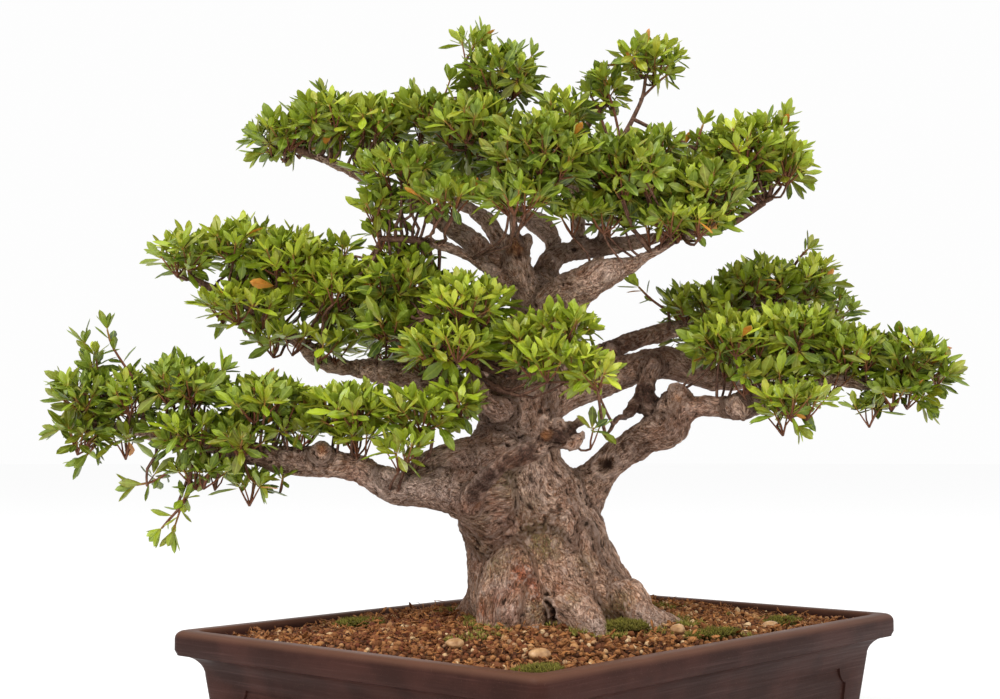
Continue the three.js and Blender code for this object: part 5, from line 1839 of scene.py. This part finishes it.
# %% [markdown]
# Dry root hairs, old leaf stalks and brown husks litter the soil in patches. A hair is a thin
# tube along a wandering line. It is pulled down when it rises too far over the soil, and up
# when it dips, so that it creeps along the grains. A husk is the leaf again, small and dry,
# which saves a new shape that no one would tell from it.

# %% Litter
HAIRS = 420
HUSKS = 1000
HAIR_JOINTS = 7
HAIR_RADII = (0.25, 0.5)
HAIR_STEPS = (1.6, 3.6)
CREEP = 160
HUSK_LENGTHS = (5, 10)
SOIL_MARGIN = 6


def litter_place(count):
    x = rng.uniform(-SOIL_X + SOIL_MARGIN, SOIL_X - SOIL_MARGIN, count * 4)
    y = rng.uniform(-SOIL_Y + SOIL_MARGIN, SOIL_Y - SOIL_MARGIN, count * 4)
    places = np.stack([x, y, soil_height(x, y) + 2.2], 1) * MM
    keep = (gap_to_wood(places) > 2 * MM) & (rng.random(len(x)) < 0.55 + 0.4 * noise(places * 16))
    return places[keep][:count]


def root_hair(place):
    heading = unit(rng.normal(size=3) * (1, 1, 0.25))
    line = [place]
    for _ in range(HAIR_JOINTS):
        fall = (line[-1][2] - place[2] - 1 * MM) * CREEP
        heading = unit(heading + 0.75 * rng.normal(size=3) * (1, 1, 0.5) - UP * fall)
        line.append(line[-1] + heading * rng.uniform(*HAIR_STEPS) * MM)
    radius = rng.uniform(*HAIR_RADII) * MM * np.linspace(1, 0.6, len(line))[:, None]
    return tube_of(strand_along(np.hstack([np.array(line), radius])), 3)


hairs = [root_hair(place) for place in litter_place(HAIRS)]
husk_places = litter_place(HUSKS) + 1.2 * MM * UP
husk_ways = unit(rng.normal(size=husk_places.shape) * (1, 1, 0.3) + 0.15 * UP)
husk_sides = unit(np.cross(husk_ways, rng.normal(size=husk_ways.shape)))
husk_lengths = rng.uniform(*HUSK_LENGTHS, len(husk_places)) * MM
none = np.zeros(len(husk_places))
husks = leaves_at(husk_places, husk_ways, husk_sides, none, husk_lengths, none)
points, faces = gather(hairs + [husks[:2]])
print("root hairs:", len(hairs), "husks:", len(husk_places))

# %% [markdown]
# All of it has dried to red-brown and straw. A slow noise on the place gives each scrap a
# tone of its own, near enough, and a fine one roughens it.

# %% The litter finish
dry = Finish("dry litter", Specular_IOR_Level=0.2)
dry_patch = dry.noise(dry.place(), 90, 2, 0.5)
dry_fine = dry.noise(dry.place(), 700, 3, 0.6)
dry_colour = dry.blend(dry.step(dry_patch, 0.35, 0.65), linear(92, 46, 24), linear(170, 112, 62))
dry_colour = dry.blend(dry.step(dry_fine, 0.4, 0.7, 0, 0.5), dry_colour, linear(204, 146, 92))
litter = piece_of("litter", points, faces, dry.wear(
    Base_Color=dry_colour,
    Roughness=dry.step(dry_fine, 0.3, 0.7, 0.9, 0.65),
    Normal=dry.bump(dry_fine, 0.3 * MM, 0.6),
))
settle(litter, "soil")

# %% [markdown]
# ## Under the pot
# Plastic screens, held by wire clips, keep the soil in over the drain holes, and a wire
# through two small holes anchors the tree. They could be modelled again with rounder wires,
# but they are under the pot, and the CAD shapes are right as they are. So they only get
# better finishes: scuffed black plastic, and soft aluminium that has gone dull.

# %% Screens and wires
plastic = Finish("black screen plastic", Specular_IOR_Level=0.4)
scuff = plastic.noise(plastic.place(), 500, 3, 0.6)
screen_material = plastic.wear(
    Base_Color=plastic.blend(plastic.step(scuff, 0.45, 0.75), linear(26, 28, 27), linear(70, 66, 60)),
    Roughness=plastic.step(scuff, 0.3, 0.7, 0.45, 0.75),
    Normal=plastic.bump(scuff, 0.2 * MM, 0.4),
)
aluminium = Finish("dulled aluminium wire", Metallic=1.0)
tarnish = aluminium.noise(aluminium.place(), 350, 4, 0.6)
wire_material = aluminium.wear(
    Base_Color=aluminium.blend(
        aluminium.step(tarnish, 0.4, 0.7), linear(150, 150, 150), linear(96, 90, 82)),
    Roughness=aluminium.step(tarnish, 0.3, 0.7, 0.3, 0.6),
    Normal=aluminium.bump(tarnish, 0.1 * MM, 0.4),
)
for node, material in (("drain_screen_left", screen_material), ("drain_screen_right", screen_material),
                       ("screen_clip_left", wire_material), ("screen_clip_right", wire_material),
                       ("anchor_wire", wire_material)):
    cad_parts[node].material_slots[0].material = material

# %% [markdown]
# ## The floor and the light
# The part stands on a plain pale floor that reaches far behind it. A wide soft lamp from the
# front left and above gives the form, a weak one lifts the right side, and an even pale sky
# fills the shadows. A small hard lamp would be simpler, but it throws a leaf's shadow on
# every other leaf.

# %% Floor and lamps
FLOOR_RADIUS = 30
SKY_WHITE = 0.985
MIDDLE_OF_TREE = (0, 0, 0.3)
paper = Finish("pale floor", Specular_IOR_Level=0.0)
paper_grain = paper.noise(paper.place(), 60, 2)
begin(bpy.ops.mesh.primitive_circle_add, vertices=128, radius=FLOOR_RADIUS, fill_type="NGON")
floor = end("floor")
floor.data.materials.append(paper.wear(
    Base_Color=paper.blend(paper_grain * 0.1, linear(253, 253, 253), linear(249, 249, 249)),
    Roughness=0.95,
))


def lamp(name, across, up, away, size, power):
    bpy.ops.object.select_all(action="DESELECT")
    place = Vector(RIGHT * across + AWAY * away + UP * up)
    aim = Vector(MIDDLE_OF_TREE) - place
    turn = aim.to_track_quat("-Z", "Y").to_euler()
    bpy.ops.object.light_add(type="AREA", location=place, rotation=turn)
    light = bpy.context.object
    light.name = name
    light.data.shape = "DISK"
    light.data.size = size
    light.data.energy = power


lamp("key lamp", -1.2, 2.6, -1.6, 1.5, 62)
lamp("side lamp", 2.0, 1.4, -1.2, 1.4, 12)
world = bpy.data.worlds.new("studio")
bpy.context.scene.world = world
world.use_nodes = True
sky = world.node_tree.nodes["Background"]
sky.inputs["Color"].default_value = (SKY_WHITE, SKY_WHITE, SKY_WHITE, 1)
sky.inputs["Strength"].default_value = 1.0
print("lamps:", len(bpy.data.lights))
